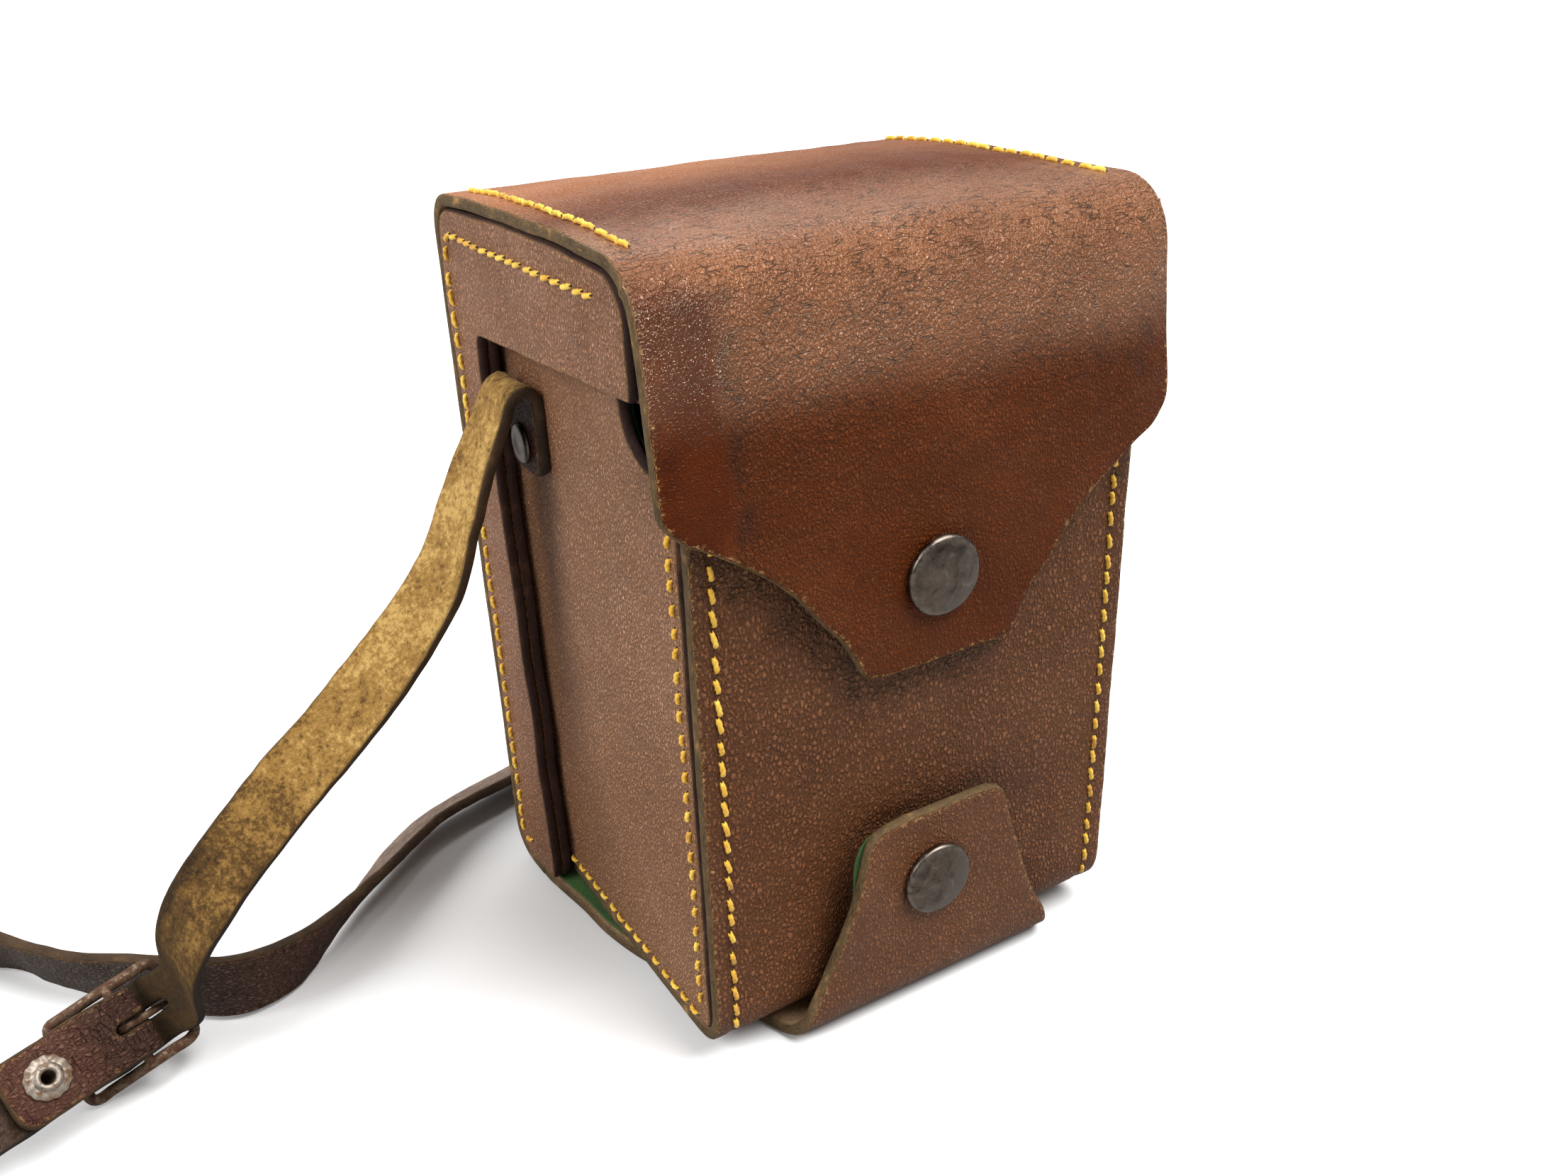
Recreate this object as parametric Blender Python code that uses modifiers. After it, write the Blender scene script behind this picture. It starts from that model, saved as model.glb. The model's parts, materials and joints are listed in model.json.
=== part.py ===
"""Leather ever ready case for a small upright camera.

The case is two leather assemblies. The tray (front, base and two sides, lined with felt) holds the
camera. The rear cover (back, top and two L-shaped gussets) closes over it, and carries the front
flap, which snaps high on the tray. A base strip runs under the tray and ends in a tab, which snaps
low on the tray's front. The carrying strap is riveted to both sides and meets in a buckle.

Frame: metres, +Z up, +X to the wearer's left hand side of the front view, -Y to the front.
The origin is on the floor, under the middle of the case.
"""

import math

import bmesh
import bpy
from mathutils import Matrix, Vector

MM = 0.001

# Leather, felt and fits
LEATHER = 2.2 * MM
GUSSET_LEATHER = 1.9 * MM
FELT = 0.7 * MM
GAP = 0.3 * MM

# Tray: the box that holds the camera
TRAY_HALF_WIDTH = 45 * MM
TRAY_FRONT = -43.2 * MM
TRAY_REAR = 38.0 * MM
TRAY_BOTTOM = LEATHER + FELT + 2 * GAP
TRAY_FRONT_TOP = 106.5 * MM
TRAY_CORNER_RADIUS = 7 * MM
SIDE_TOP = 128 * MM
SIDE_SHOULDER = 112 * MM
NOTCH_RADIUS = 9.8 * MM

# Rear cover: back, top and gussets
COVER_HALF_WIDTH = 50 * MM
COVER_BACK = 42 * MM
COVER_TOP = 146.8 * MM
COVER_BACK_RADIUS = 7 * MM
GUSSET_BACK_ARM = 25.5 * MM
GUSSET_LOWER_EDGE_REAR = 121.5 * MM
GUSSET_LOWER_EDGE_FRONT = 125.5 * MM
GUSSET_FRONT = -39.3 * MM
GUSSET_CORNER_RADIUS = 7.5 * MM

# Front flap: a rounded bend over the gussets' corner, then a shield with a tongue
FLAP_CORNER_RADIUS = 10.6 * MM
FLAP_LIFT_AXIS = Vector((0, -33 * MM, COVER_TOP - 0.6 * MM))
FLAP_OPEN_AXIS = Vector((0, FLAP_LIFT_AXIS.y - FLAP_CORNER_RADIUS, FLAP_LIFT_AXIS.z - FLAP_CORNER_RADIUS))
FLAP_FACE = -47.4 * MM

# Base strip and its tab
STRIP_FRONT_RADIUS = 7 * MM
TAB_AXIS = Vector((0, FLAP_FACE, STRIP_FRONT_RADIUS))

# Press studs
UPPER_STUD_HEIGHT = 88.8 * MM
LOWER_STUD_HEIGHT = 27.0 * MM
STUD_HOLE_RADIUS = 3.6 * MM
SNAP_CAP_RADIUS = 7.2 * MM

# Strap, its rivets and the folds over them
STRAP_WIDTH = 13 * MM
STRAP_THICKNESS = 2.2 * MM
STRAP_AXIS = Vector((0, 14.5 * MM, 114.6 * MM))
RIVET_HEIGHT = 103.9 * MM
STRAP_END_BOTTOM = 98.6 * MM
RIVET_CAP_RADIUS = 3.8 * MM
EYELET_RADIUS = 4.4 * MM

# The buckle's middle bar, with the directions of its strap: along it, across it and out of its face
BAR = Vector((-134.2, 13.2, 12.2)) * MM
ALONG = Vector((-0.92, -0.39, 0.0)).normalized()
ACROSS = Vector((-0.28, 0.60, 0.75)).normalized()
ACROSS = (ACROSS - ALONG * ACROSS.dot(ALONG)).normalized()
OUTWARD = ACROSS.cross(ALONG)
BUCKLE_WIRE_RADIUS = 1.0 * MM
BUCKLE_HALF_WIDTH = STRAP_WIDTH / 2 + 0.4 * MM + BUCKLE_WIRE_RADIUS


# ---------------------------------------------------------------- scene and materials


def clear_scene():
    for obj in list(bpy.data.objects):
        bpy.data.objects.remove(obj)


def collection(name):
    made = bpy.data.collections.new(name)
    bpy.context.scene.collection.children.link(made)
    return made


def material(name, colour, roughness, metallic=0.0):
    made = bpy.data.materials.new(name)
    made.use_nodes = True
    shader = made.node_tree.nodes["Principled BSDF"]
    shader.inputs["Base Color"].default_value = (*colour, 1)
    shader.inputs["Roughness"].default_value = roughness
    shader.inputs["Metallic"].default_value = metallic
    return made


clear_scene()
PARTS = collection("ever_ready_case")
CUTTERS = collection("cutters")
COVER_LEATHER = material("cover_leather", (0.30, 0.12, 0.08), 0.45)
TRAY_LEATHER = material("tray_leather", (0.16, 0.06, 0.04), 0.5)
SUEDE = material("suede", (0.28, 0.16, 0.06), 0.9)
FELT_GREEN = material("felt", (0.04, 0.10, 0.03), 0.95)
STUD_METAL = material("stud_metal", (0.12, 0.10, 0.09), 0.35, 1.0)
BUCKLE_METAL = material("buckle_metal", (0.45, 0.40, 0.33), 0.5, 1.0)


# ---------------------------------------------------------------- shape tools


def link(name, mesh, finish, parent=None):
    """A named part from a mesh in world coordinates, with its origin on its parent's joint axis."""
    obj = bpy.data.objects.new(name, mesh)
    obj.data.materials.append(finish)
    PARTS.objects.link(obj)
    if parent is not None:
        mesh.transform(Matrix.Translation(-parent.location))
        obj.parent = parent
    return obj


def joint_empty(name, location):
    """An empty at a joint, named for it."""
    empty = bpy.data.objects.new(name, None)
    PARTS.objects.link(empty)
    empty.location = location
    return empty


def sheet(name, stations, thickness, finish, parent=None):
    """A bent sheet of leather or felt across X. Stations are (y, z, half width) on its outer face.

    They run up the front, back over the top, down the back or forward under the base, so the
    thickness always goes to the inside.
    """
    bm = bmesh.new()
    rows = [[bm.verts.new((side * half, y, z)) for side in (-1, 1)] for y, z, half in stations]
    for (left, right), (next_left, next_right) in zip(rows, rows[1:]):
        bm.faces.new((left, right, next_right, next_left))
    mesh = bpy.data.meshes.new(name)
    bm.to_mesh(mesh)
    bm.free()
    obj = link(name, mesh, finish, parent)
    solid = obj.modifiers.new("thickness", "SOLIDIFY")
    solid.thickness = thickness
    solid.offset = -1
    solid.use_even_offset = True
    return obj


def side_plate(name, outline, x_inner, x_outer, finish, parent=None):
    """A flat plate in the YZ plane between two values of X. The outline is a list of (y, z)."""
    curve = bpy.data.curves.new(name, "CURVE")
    curve.dimensions = "2D"
    curve.fill_mode = "BOTH"
    curve.extrude = abs(x_outer - x_inner) / 2
    spline = curve.splines.new("POLY")
    spline.points.add(len(outline) - 1)
    for point, (y, z) in zip(spline.points, outline):
        point.co = (y, z, 0, 1)
    spline.use_cyclic_u = True
    drawn = bpy.data.objects.new(name + "_outline", curve)
    CUTTERS.objects.link(drawn)
    # the curve's own X, Y and Z lie along the world's Y, Z and X
    drawn.matrix_world = Matrix(((0, 0, 1, (x_inner + x_outer) / 2), (1, 0, 0, 0), (0, 1, 0, 0), (0, 0, 0, 1)))
    mesh = mesh_of(drawn)
    bpy.data.objects.remove(drawn)
    return link(name, mesh, finish, parent)


def mesh_of(obj):
    """The evaluated mesh of an object in world coordinates, with a curve's loose caps welded."""
    bpy.context.view_layer.update()
    graph = bpy.context.evaluated_depsgraph_get()
    mesh = bpy.data.meshes.new_from_object(obj.evaluated_get(graph))
    mesh.transform(obj.matrix_world)
    mesh.materials.clear()
    bm = bmesh.new()
    bm.from_mesh(mesh)
    bmesh.ops.remove_doubles(bm, verts=bm.verts, dist=0.00001)
    bmesh.ops.recalc_face_normals(bm, faces=bm.faces)
    bm.to_mesh(mesh)
    bm.free()
    return mesh


def turned(name, profile, centre, axis, finish, parent=None, steps=24):
    """A turned part. The profile is (radius, height) along the axis, closed at both ends on it or on itself."""
    bm = bmesh.new()
    points = [bm.verts.new((radius, 0, height)) for radius, height in profile]
    for a, b in zip(points, points[1:]):
        bm.edges.new((a, b))
    if profile[0][0] > 0:
        bm.edges.new((points[-1], points[0]))
    bmesh.ops.spin(
        bm,
        geom=bm.verts[:] + bm.edges[:],
        axis=(0, 0, 1),
        cent=(0, 0, 0),
        steps=steps,
        angle=2 * math.pi,
        use_merge=True,
    )
    bmesh.ops.remove_doubles(bm, verts=bm.verts, dist=0.00001)
    bmesh.ops.recalc_face_normals(bm, faces=bm.faces)
    mesh = bpy.data.meshes.new(name)
    bm.to_mesh(mesh)
    bm.free()
    turn = Vector((0, 0, 1)).rotation_difference(Vector(axis)).to_matrix().to_4x4()
    mesh.transform(Matrix.Translation(centre) @ turn)
    obj = link(name, mesh, finish, parent)
    mesh.shade_smooth()
    mesh.set_sharp_from_angle(angle=math.radians(35))
    return obj


def hole(target, centre, axis, radius, half_length, stretch=0.0, stretch_along=(1, 0, 0)):
    """Cuts a round hole, or an oblong one of two round ends and a block, through a part."""
    bm = bmesh.new()
    turn = Vector((0, 0, 1)).rotation_difference(Vector(axis)).to_matrix().to_4x4()
    place = Matrix.Translation(centre) @ turn
    bmesh.ops.create_cone(
        bm, cap_ends=True, segments=20, radius1=radius, radius2=radius, depth=2 * half_length, matrix=place
    )
    if stretch:
        along = Vector(stretch_along).normalized()
        for vert in bm.verts:
            shift = (vert.co - Vector(centre)).dot(along)
            vert.co += along * (stretch / 2 if shift > 0 else -stretch / 2)
    mesh = bpy.data.meshes.new(target.name + "_cutter")
    bm.to_mesh(mesh)
    bm.free()
    cutter = bpy.data.objects.new(target.name + "_cutter", mesh)
    cutter.hide_render = True
    cutter.display_type = "WIRE"
    CUTTERS.objects.link(cutter)
    cut = target.modifiers.new("hole", "BOOLEAN")
    cut.operation = "DIFFERENCE"
    cut.object = cutter
    return cut


def arc(centre_y, centre_z, radius, start, end, steps=6):
    """Points (y, z) on an arc. Angles are in degrees from +Y towards +Z."""
    angles = [math.radians(start + (end - start) * i / steps) for i in range(steps + 1)]
    return [(centre_y + radius * math.cos(a), centre_z + radius * math.sin(a)) for a in angles]


def inset(path, distance):
    """A path (y, z) moved to the inside of the case by a distance, along its own normals."""
    moved = []
    for i, (y, z) in enumerate(path):
        before = path[max(i - 1, 0)]
        after = path[min(i + 1, len(path) - 1)]
        run = Vector((after[0] - before[0], after[1] - before[1])).normalized()
        moved.append((y + run.y * distance, z - run.x * distance))
    return moved


def interpolate(table, value):
    """Straight-line value from a table of (position, value) pairs in rising order."""
    if value <= table[0][0]:
        return table[0][1]
    for (a, at_a), (b, at_b) in zip(table, table[1:]):
        if value <= b:
            return at_a + (at_b - at_a) * (value - a) / (b - a)
    return table[-1][1]


def smooth(points, per_span=4):
    """A Catmull-Rom curve through the points, which are Vectors."""
    padded = [2 * points[0] - points[1], *points, 2 * points[-1] - points[-2]]
    made = []
    for p0, p1, p2, p3 in zip(padded, padded[1:], padded[2:], padded[3:]):
        for i in range(per_span):
            t = i / per_span
            made.append(
                0.5 * ((2 * p1) + (p2 - p0) * t + (2 * p0 - 5 * p1 + 4 * p2 - p3) * t**2
                       + (3 * p1 - p0 - 3 * p2 + p3) * t**3)
            )
    return made + [points[-1]]


def ribbon(name, centres, widths, finish, parent):
    """A strap: a flat band with its width along the given directions at each point of its path."""
    bm = bmesh.new()
    rows = []
    for centre, width in zip(centres, widths):
        half = width.normalized() * STRAP_WIDTH / 2
        rows.append((bm.verts.new(centre - half), bm.verts.new(centre + half)))
    for (a, b), (c, d) in zip(rows, rows[1:]):
        bm.faces.new((a, b, d, c))
    mesh = bpy.data.meshes.new(name)
    bm.to_mesh(mesh)
    bm.free()
    obj = link(name, mesh, finish, parent)
    solid = obj.modifiers.new("thickness", "SOLIDIFY")
    solid.thickness = STRAP_THICKNESS
    solid.offset = 0
    return obj


# ---------------------------------------------------------------- tray


def tray_path():
    """Outer face of the tray's front and base: forward along the base, then up the front."""
    corner = arc(
        TRAY_FRONT + TRAY_CORNER_RADIUS, TRAY_BOTTOM + TRAY_CORNER_RADIUS, TRAY_CORNER_RADIUS, 270, 180
    )
    return [(TRAY_REAR, TRAY_BOTTOM), *corner, (TRAY_FRONT, TRAY_FRONT_TOP)]


def side_outline(margin):
    """Side panel, inside the front and base, with a round scoop at its top front corner."""
    front = TRAY_FRONT + LEATHER + GAP + margin
    bottom = TRAY_BOTTOM + LEATHER + GAP + margin
    radius = TRAY_CORNER_RADIUS - LEATHER - GAP - margin
    corner = arc(front + radius, bottom + radius, radius, 270, 180)
    scoop_y = front + NOTCH_RADIUS * 0.75
    scoop = arc(scoop_y, SIDE_SHOULDER + NOTCH_RADIUS, NOTCH_RADIUS, 270, 360)
    return [
        (TRAY_REAR - margin, bottom),
        *corner,
        (front, SIDE_SHOULDER),
        *scoop,
        (scoop_y + NOTCH_RADIUS, SIDE_TOP - margin),
        (TRAY_REAR - margin, SIDE_TOP - margin),
    ]


def build_tray():
    panel = sheet(
        "front_base_panel", [(y, z, TRAY_HALF_WIDTH) for y, z in tray_path()], LEATHER, TRAY_LEATHER
    )
    lining_path = inset(tray_path(), LEATHER + GAP)
    lining_path[0] = (TRAY_REAR, lining_path[0][1])
    lining_half = TRAY_HALF_WIDTH - LEATHER - FELT - 2 * GAP
    lining = sheet("front_base_lining", [(y, z, lining_half) for y, z in lining_path], FELT, FELT_GREEN)
    for height in (UPPER_STUD_HEIGHT, LOWER_STUD_HEIGHT):
        hole(panel, (0, TRAY_FRONT, height), (0, 1, 0), 2.6 * MM, 6 * MM)
        hole(lining, (0, TRAY_FRONT, height), (0, 1, 0), 5.2 * MM, 6 * MM)
    for side, x_sign in (("left", -1), ("right", 1)):
        outer = TRAY_HALF_WIDTH
        inner = outer - LEATHER
        side_panel = side_plate(
            f"{side}_side_panel", side_outline(0), x_sign * inner, x_sign * outer, COVER_LEATHER
        )
        side_lining = side_plate(
            f"{side}_side_lining",
            side_outline(FELT + 2 * GAP),
            x_sign * (inner - GAP - FELT),
            x_sign * (inner - GAP),
            FELT_GREEN,
        )
        rivet = (x_sign * outer, STRAP_AXIS.y, RIVET_HEIGHT)
        hole(side_panel, rivet, (1, 0, 0), 1.6 * MM, 6 * MM)
        hole(side_lining, rivet, (1, 0, 0), 4.6 * MM, 6 * MM)


def build_base_strip():
    """The strip under the tray narrows to the tab's width and turns up at the front."""
    half_width = [
        (-46 * MM, 26.5 * MM),
        (-40 * MM, 31 * MM),
        (-30 * MM, 36 * MM),
        (-18 * MM, 42.5 * MM),
        (-6 * MM, 47.5 * MM),
        (6 * MM, 49.6 * MM),
        (18 * MM, 50 * MM),
    ]
    rear = COVER_BACK - LEATHER - GAP
    run = [(y * MM, 0.0) for y in (18, 6, -6, -18, -30)]
    turn = arc(FLAP_FACE + STRIP_FRONT_RADIUS, STRIP_FRONT_RADIUS, STRIP_FRONT_RADIUS, 270, 183)
    path = [(rear, 0.0), *run, *turn]
    narrowing = (31 * MM - 27.5 * MM) / STRIP_FRONT_RADIUS
    stations = []
    for y, z in path:
        stations.append((y, z, interpolate(half_width, y) if z == 0 else 31 * MM - narrowing * z))
    sheet("base_strip", stations, LEATHER, COVER_LEATHER)
    felt_path = [(rear - GAP, LEATHER + GAP), *[(y, LEATHER + GAP) for y, _ in run]]
    sheet(
        "base_strip_lining",
        [(y, z, interpolate(half_width, y) - 1.0 * MM) for y, z in felt_path],
        FELT,
        FELT_GREEN,
    )


def build_studs():
    """Each stud is a base inside, a shank through the front, a collar outside and a post in the socket."""
    for side, height in (("upper", UPPER_STUD_HEIGHT), ("lower", LOWER_STUD_HEIGHT)):
        inner_face = TRAY_FRONT + LEATHER
        profile = [
            (0, -GAP - 0.9 * MM),
            (4.5 * MM, -GAP - 0.9 * MM),
            (4.5 * MM, -GAP),
            (2.2 * MM, -GAP),
            (2.2 * MM, LEATHER + 1.6 * MM),
            (1.7 * MM, LEATHER + 2.0 * MM),
            (2.1 * MM, LEATHER + 2.5 * MM),
            (1.6 * MM, LEATHER + 3.1 * MM),
            (0, LEATHER + 3.2 * MM),
        ]
        turned(f"{side}_stud", profile, (0, inner_face, height), (0, -1, 0), STUD_METAL, steps=20)
        ring = [(2.6 * MM, 0), (4.2 * MM, 0), (4.2 * MM, 0.5 * MM), (2.6 * MM, 0.5 * MM)]
        turned(f"{side}_stud_collar", ring, (0, TRAY_FRONT - GAP, height), (0, -1, 0), STUD_METAL, steps=20)


# ---------------------------------------------------------------- rear cover


def cover_path():
    """Outer face of the rear cover: back over the top from the flap, then down the back."""
    turn = arc(
        COVER_BACK - COVER_BACK_RADIUS, COVER_TOP - 1.6 * MM - COVER_BACK_RADIUS, COVER_BACK_RADIUS, 90, 0, 5
    )
    top = [(-12 * MM, COVER_TOP), (8 * MM, COVER_TOP - 0.2 * MM)]
    start = (FLAP_LIFT_AXIS.y + 0.15 * MM, FLAP_LIFT_AXIS.z)
    return [start, *top, *turn, (COVER_BACK, GAP)]


def gusset_outline(drop):
    """Inverted L: an arm along the top and an arm down the back. Drop lowers the top arm's free edge."""
    inside = inset(cover_path(), LEATHER + GAP)
    top_front_z = inside[0][1] - 0.5 * MM
    corner = arc(
        GUSSET_FRONT + GUSSET_CORNER_RADIUS,
        top_front_z - GUSSET_CORNER_RADIUS,
        GUSSET_CORNER_RADIUS,
        180,
        90,
    )
    foot_z = TRAY_BOTTOM
    return [
        (GUSSET_FRONT, GUSSET_LOWER_EDGE_FRONT - drop),
        *corner,
        *inside[1:-1],
        (inside[-1][0], foot_z),
        (GUSSET_BACK_ARM, foot_z),
        (GUSSET_BACK_ARM, GUSSET_LOWER_EDGE_REAR - drop - 2 * MM),
        (GUSSET_BACK_ARM - 2 * MM, GUSSET_LOWER_EDGE_REAR - drop),
    ]


def build_rear_cover(swing):
    path = cover_path()
    sheet("back_top_panel", [(y, z, COVER_HALF_WIDTH) for y, z in path], LEATHER, COVER_LEATHER, swing)
    backing_inner = COVER_HALF_WIDTH - 2 * GUSSET_LEATHER - GAP
    felt_path = inset(path, LEATHER + GAP)
    felt_path[-1] = (felt_path[-1][0], TRAY_BOTTOM)
    sheet(
        "back_top_lining", [(y, z, backing_inner - GAP) for y, z in felt_path], FELT, FELT_GREEN, swing
    )
    for side, x_sign in (("left", -1), ("right", 1)):
        outer = COVER_HALF_WIDTH
        side_plate(
            f"{side}_gusset",
            gusset_outline(0),
            x_sign * (outer - GUSSET_LEATHER),
            x_sign * outer,
            COVER_LEATHER,
            swing,
        )
        side_plate(
            f"{side}_gusset_backing",
            gusset_outline(0.8 * MM),
            x_sign * backing_inner,
            x_sign * (outer - GUSSET_LEATHER - GAP),
            TRAY_LEATHER,
            swing,
        )


# ---------------------------------------------------------------- flap


def bend_path():
    """Outer face of the flap's bend, from its lower end up to the lift axis."""
    end = 90 + 0.8
    return arc(FLAP_LIFT_AXIS.y, FLAP_OPEN_AXIS.z, FLAP_CORNER_RADIUS, 179.2, end, 7)


def build_flap_bend(lift):
    half = COVER_HALF_WIDTH
    sheet("flap_bend", [(y, z, half) for y, z in bend_path()], LEATHER, COVER_LEATHER, lift)
    felt_path = inset(bend_path(), LEATHER + GAP)
    felt_half = half - GUSSET_LEATHER * 2 - 2 * GAP
    sheet("flap_bend_lining", [(y, z, felt_half) for y, z in felt_path], FELT, FELT_GREEN, lift)


def flap_stations():
    """Outer face of the flap from the tongue up, with the shield's half width at each height."""
    shield = [
        (72.8, 14.0),
        (74.0, 15.6),
        (81.2, 19.6),
        (85.6, 23.2),
        (92.0, 28.6),
        (97.2, 34.5),
        (102.4, 42.0),
        (104.6, 46.3),
        (107.6, 49.6),
        (108.8, 50.0),
        (121.6, 50.0),
    ]
    face_y = [(99.6, FLAP_FACE), (109.6, FLAP_FACE + 0.6 * MM), (121.6, FLAP_FACE + 2.0 * MM)]
    stations = [(interpolate(face_y, z), z * MM, half * MM) for z, half in shield]
    return [*stations, (FLAP_OPEN_AXIS.y, FLAP_OPEN_AXIS.z - 0.15 * MM, COVER_HALF_WIDTH)]


def build_flap(open_axis):
    stations = flap_stations()
    flap = sheet("front_flap", stations, LEATHER, COVER_LEATHER, open_axis)
    felt_path = inset([(y, z) for y, z, _ in stations], LEATHER + GAP)
    felt_stations = [
        (y, z, min(half - 1.5 * MM, 45 * MM)) for (y, z), (_, _, half) in zip(felt_path, stations)
    ]
    felt = sheet("flap_lining", felt_stations, FELT, FELT_GREEN, open_axis)
    build_snap("upper", UPPER_STUD_HEIGHT, flap, felt, open_axis)


def build_snap(side, height, leather, felt, parent):
    """A domed cap outside and a socket ring inside, joined through the leather."""
    hole(leather, (0, FLAP_FACE, height), (0, 1, 0), STUD_HOLE_RADIUS, 6 * MM)
    hole(felt, (0, FLAP_FACE, height), (0, 1, 0), 6.2 * MM, 6 * MM)
    cap = [
        (0, -0.5 * MM),
        (3.2 * MM, -0.5 * MM),
        (3.2 * MM, GAP),
        (SNAP_CAP_RADIUS - 0.4 * MM, GAP),
        (SNAP_CAP_RADIUS, 0.9 * MM),
        (SNAP_CAP_RADIUS - 0.6 * MM, 1.5 * MM),
        (SNAP_CAP_RADIUS * 0.7, 2.2 * MM),
        (SNAP_CAP_RADIUS * 0.4, 2.6 * MM),
        (0, 2.8 * MM),
    ]
    turned(f"{side}_snap_cap", cap, (0, FLAP_FACE, height), (0, -1, 0), STUD_METAL, parent)
    inner_face = FLAP_FACE + LEATHER
    ring = [
        (2.55 * MM, -0.7 * MM - GAP),
        (5.6 * MM, -0.7 * MM - GAP),
        (5.6 * MM, -GAP),
        (3.2 * MM, -GAP),
        (3.2 * MM, 1.2 * MM),
        (2.55 * MM, 1.2 * MM),
    ]
    turned(f"{side}_snap_socket", ring, (0, inner_face, height), (0, -1, 0), STUD_METAL, parent)


# ---------------------------------------------------------------- tab


def build_tab(axis):
    """The tab stands up the tray's front from the base strip's turn, and narrows to a tongue."""
    outline = [
        (7.4, 27.3),
        (12.8, 24.6),
        (19.4, 22.0),
        (26.4, 19.6),
        (33.6, 17.4),
        (38.8, 16.2),
        (41.2, 15.0),
        (42.4, 12.4),
    ]
    stations = [(FLAP_FACE, z * MM, half * MM) for z, half in outline]
    tab = sheet("base_tab", stations, LEATHER, COVER_LEATHER, axis)
    felt_stations = [(y + LEATHER + GAP, z, half - 0.6 * MM) for y, z, half in stations]
    felt_stations[0] = (felt_stations[0][0], 14 * MM, 23 * MM)
    felt_stations.pop(1)
    felt = sheet("base_tab_lining", felt_stations, FELT, FELT_GREEN, axis)
    build_snap("lower", LOWER_STUD_HEIGHT, tab, felt, axis)


# ---------------------------------------------------------------- strap


def build_strap_ends():
    """The strap's two riveted ends on the tray's sides, each up to the top of its fold."""
    for side, x_sign in (("left", -1), ("right", 1)):
        face = TRAY_HALF_WIDTH + GAP
        middle = face + STRAP_THICKNESS / 2
        fold_x = TRAY_HALF_WIDTH + 3 * MM
        turn = fold_x - middle - 0.3 * MM
        fold = arc(middle + turn, STRAP_AXIS.z - turn, turn, 180, 90, 4)
        path = [(middle, STRAP_END_BOTTOM), *fold, (fold_x - 0.15 * MM, STRAP_AXIS.z)]
        centres = [Vector((x_sign * x, STRAP_AXIS.y, z)) for x, z in path]
        across = [Vector((0, 1, 0))] * len(path)
        end = ribbon(f"{side}_strap_end", centres, across, SUEDE, None)
        rivet = Vector((x_sign * face, STRAP_AXIS.y, RIVET_HEIGHT))
        hole(end, rivet, (1, 0, 0), 1.6 * MM, 6 * MM)
        outward = (x_sign, 0, 0)
        leather_out = STRAP_THICKNESS + GAP
        through = LEATHER + 2 * GAP + 0.8 * MM
        profile = [
            (0, -through),
            (1.3 * MM, -through),
            (1.3 * MM, leather_out),
            (RIVET_CAP_RADIUS, leather_out),
            (RIVET_CAP_RADIUS - 0.3 * MM, leather_out + 0.6 * MM),
            (RIVET_CAP_RADIUS * 0.6, leather_out + 1.1 * MM),
            (0, leather_out + 1.3 * MM),
        ]
        turned(f"{side}_strap_rivet", profile, rivet, outward, STUD_METAL, steps=20)
        ring = [(1.6 * MM, 0), (RIVET_CAP_RADIUS, 0), (RIVET_CAP_RADIUS, 0.6 * MM), (1.6 * MM, 0.6 * MM)]
        washer_x = x_sign * (TRAY_HALF_WIDTH - LEATHER - GAP)
        washer_at = (washer_x, STRAP_AXIS.y, RIVET_HEIGHT)
        turned(f"{side}_rivet_washer", ring, washer_at, (-x_sign, 0, 0), BUCKLE_METAL, steps=20)


def at_buckle(along, outward, across=0.0):
    """A point from the buckle's middle bar: along the strap, out of its face and across it, in mm."""
    return BAR + (ALONG * along + OUTWARD * outward + ACROSS * across) * MM


def build_left_strap(swing):
    """From the left fold down to the buckle, over its far bar, under the middle one and on past it."""
    fall = [
        (48.15, 14.5, 114.6),
        (49.0, 14.5, 114.6),
        (50.9, 14.5, 113.0),
        (53.0, 14.5, 108.7),
        (57.2, 14.5, 101.0),
        (61.0, 14.5, 92.6),
        (66.5, 14.5, 81.0),
        (76.5, 14.5, 69.6),
        (87.7, 14.5, 59.0),
        (99.0, 14.5, 49.8),
        (108.0, 14.5, 41.4),
        (115.2, 14.5, 34.2),
        (120.4, 14.8, 27.6),
        (123.4, 14.8, 21.2),
    ]
    points = [Vector((-x, y, z)) * MM for x, y, z in fall]
    threading = [(-9.4, 4.8), (-6.6, 0.4), (-4.9, -4.0), (0.0, -5.9), (7.0, -4.8), (18.0, -4.6), (32.0, -4.6)]
    points += [at_buckle(s, n) for s, n in threading]
    centres = smooth(points)
    first_turned = 2
    turn_steps = 8
    last = len(centres) - 1
    across = []
    for i in range(len(centres)):
        # the strap lies across Y at its fold, and twists to the buckle's direction on the way down
        step = i / last * (len(points) - 1)
        turn = ease((step - first_turned) / turn_steps)
        ahead = (centres[min(i + 1, last)] - centres[max(i - 1, 0)]).normalized()
        width = Vector((0, 1, 0)).lerp(ACROSS, turn)
        square = (width - ahead * width.dot(ahead)).normalized()
        across.append(square.lerp(ACROSS, ease((step - len(fall) + 4) / 3)))
    strap = ribbon("left_strap", centres, across, SUEDE, swing)
    slot_at = at_buckle(-6.2, -1.2)
    run = (ALONG * 2.2 - OUTWARD * 5.4).normalized()
    hole(strap, slot_at, run.cross(ACROSS), 1.7 * MM, 5 * MM, 3.8 * MM, run)


def ease(share):
    """0 before 0, 1 after 1, and a smooth step between."""
    share = min(max(share, 0), 1)
    return share * share * (3 - 2 * share)


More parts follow.
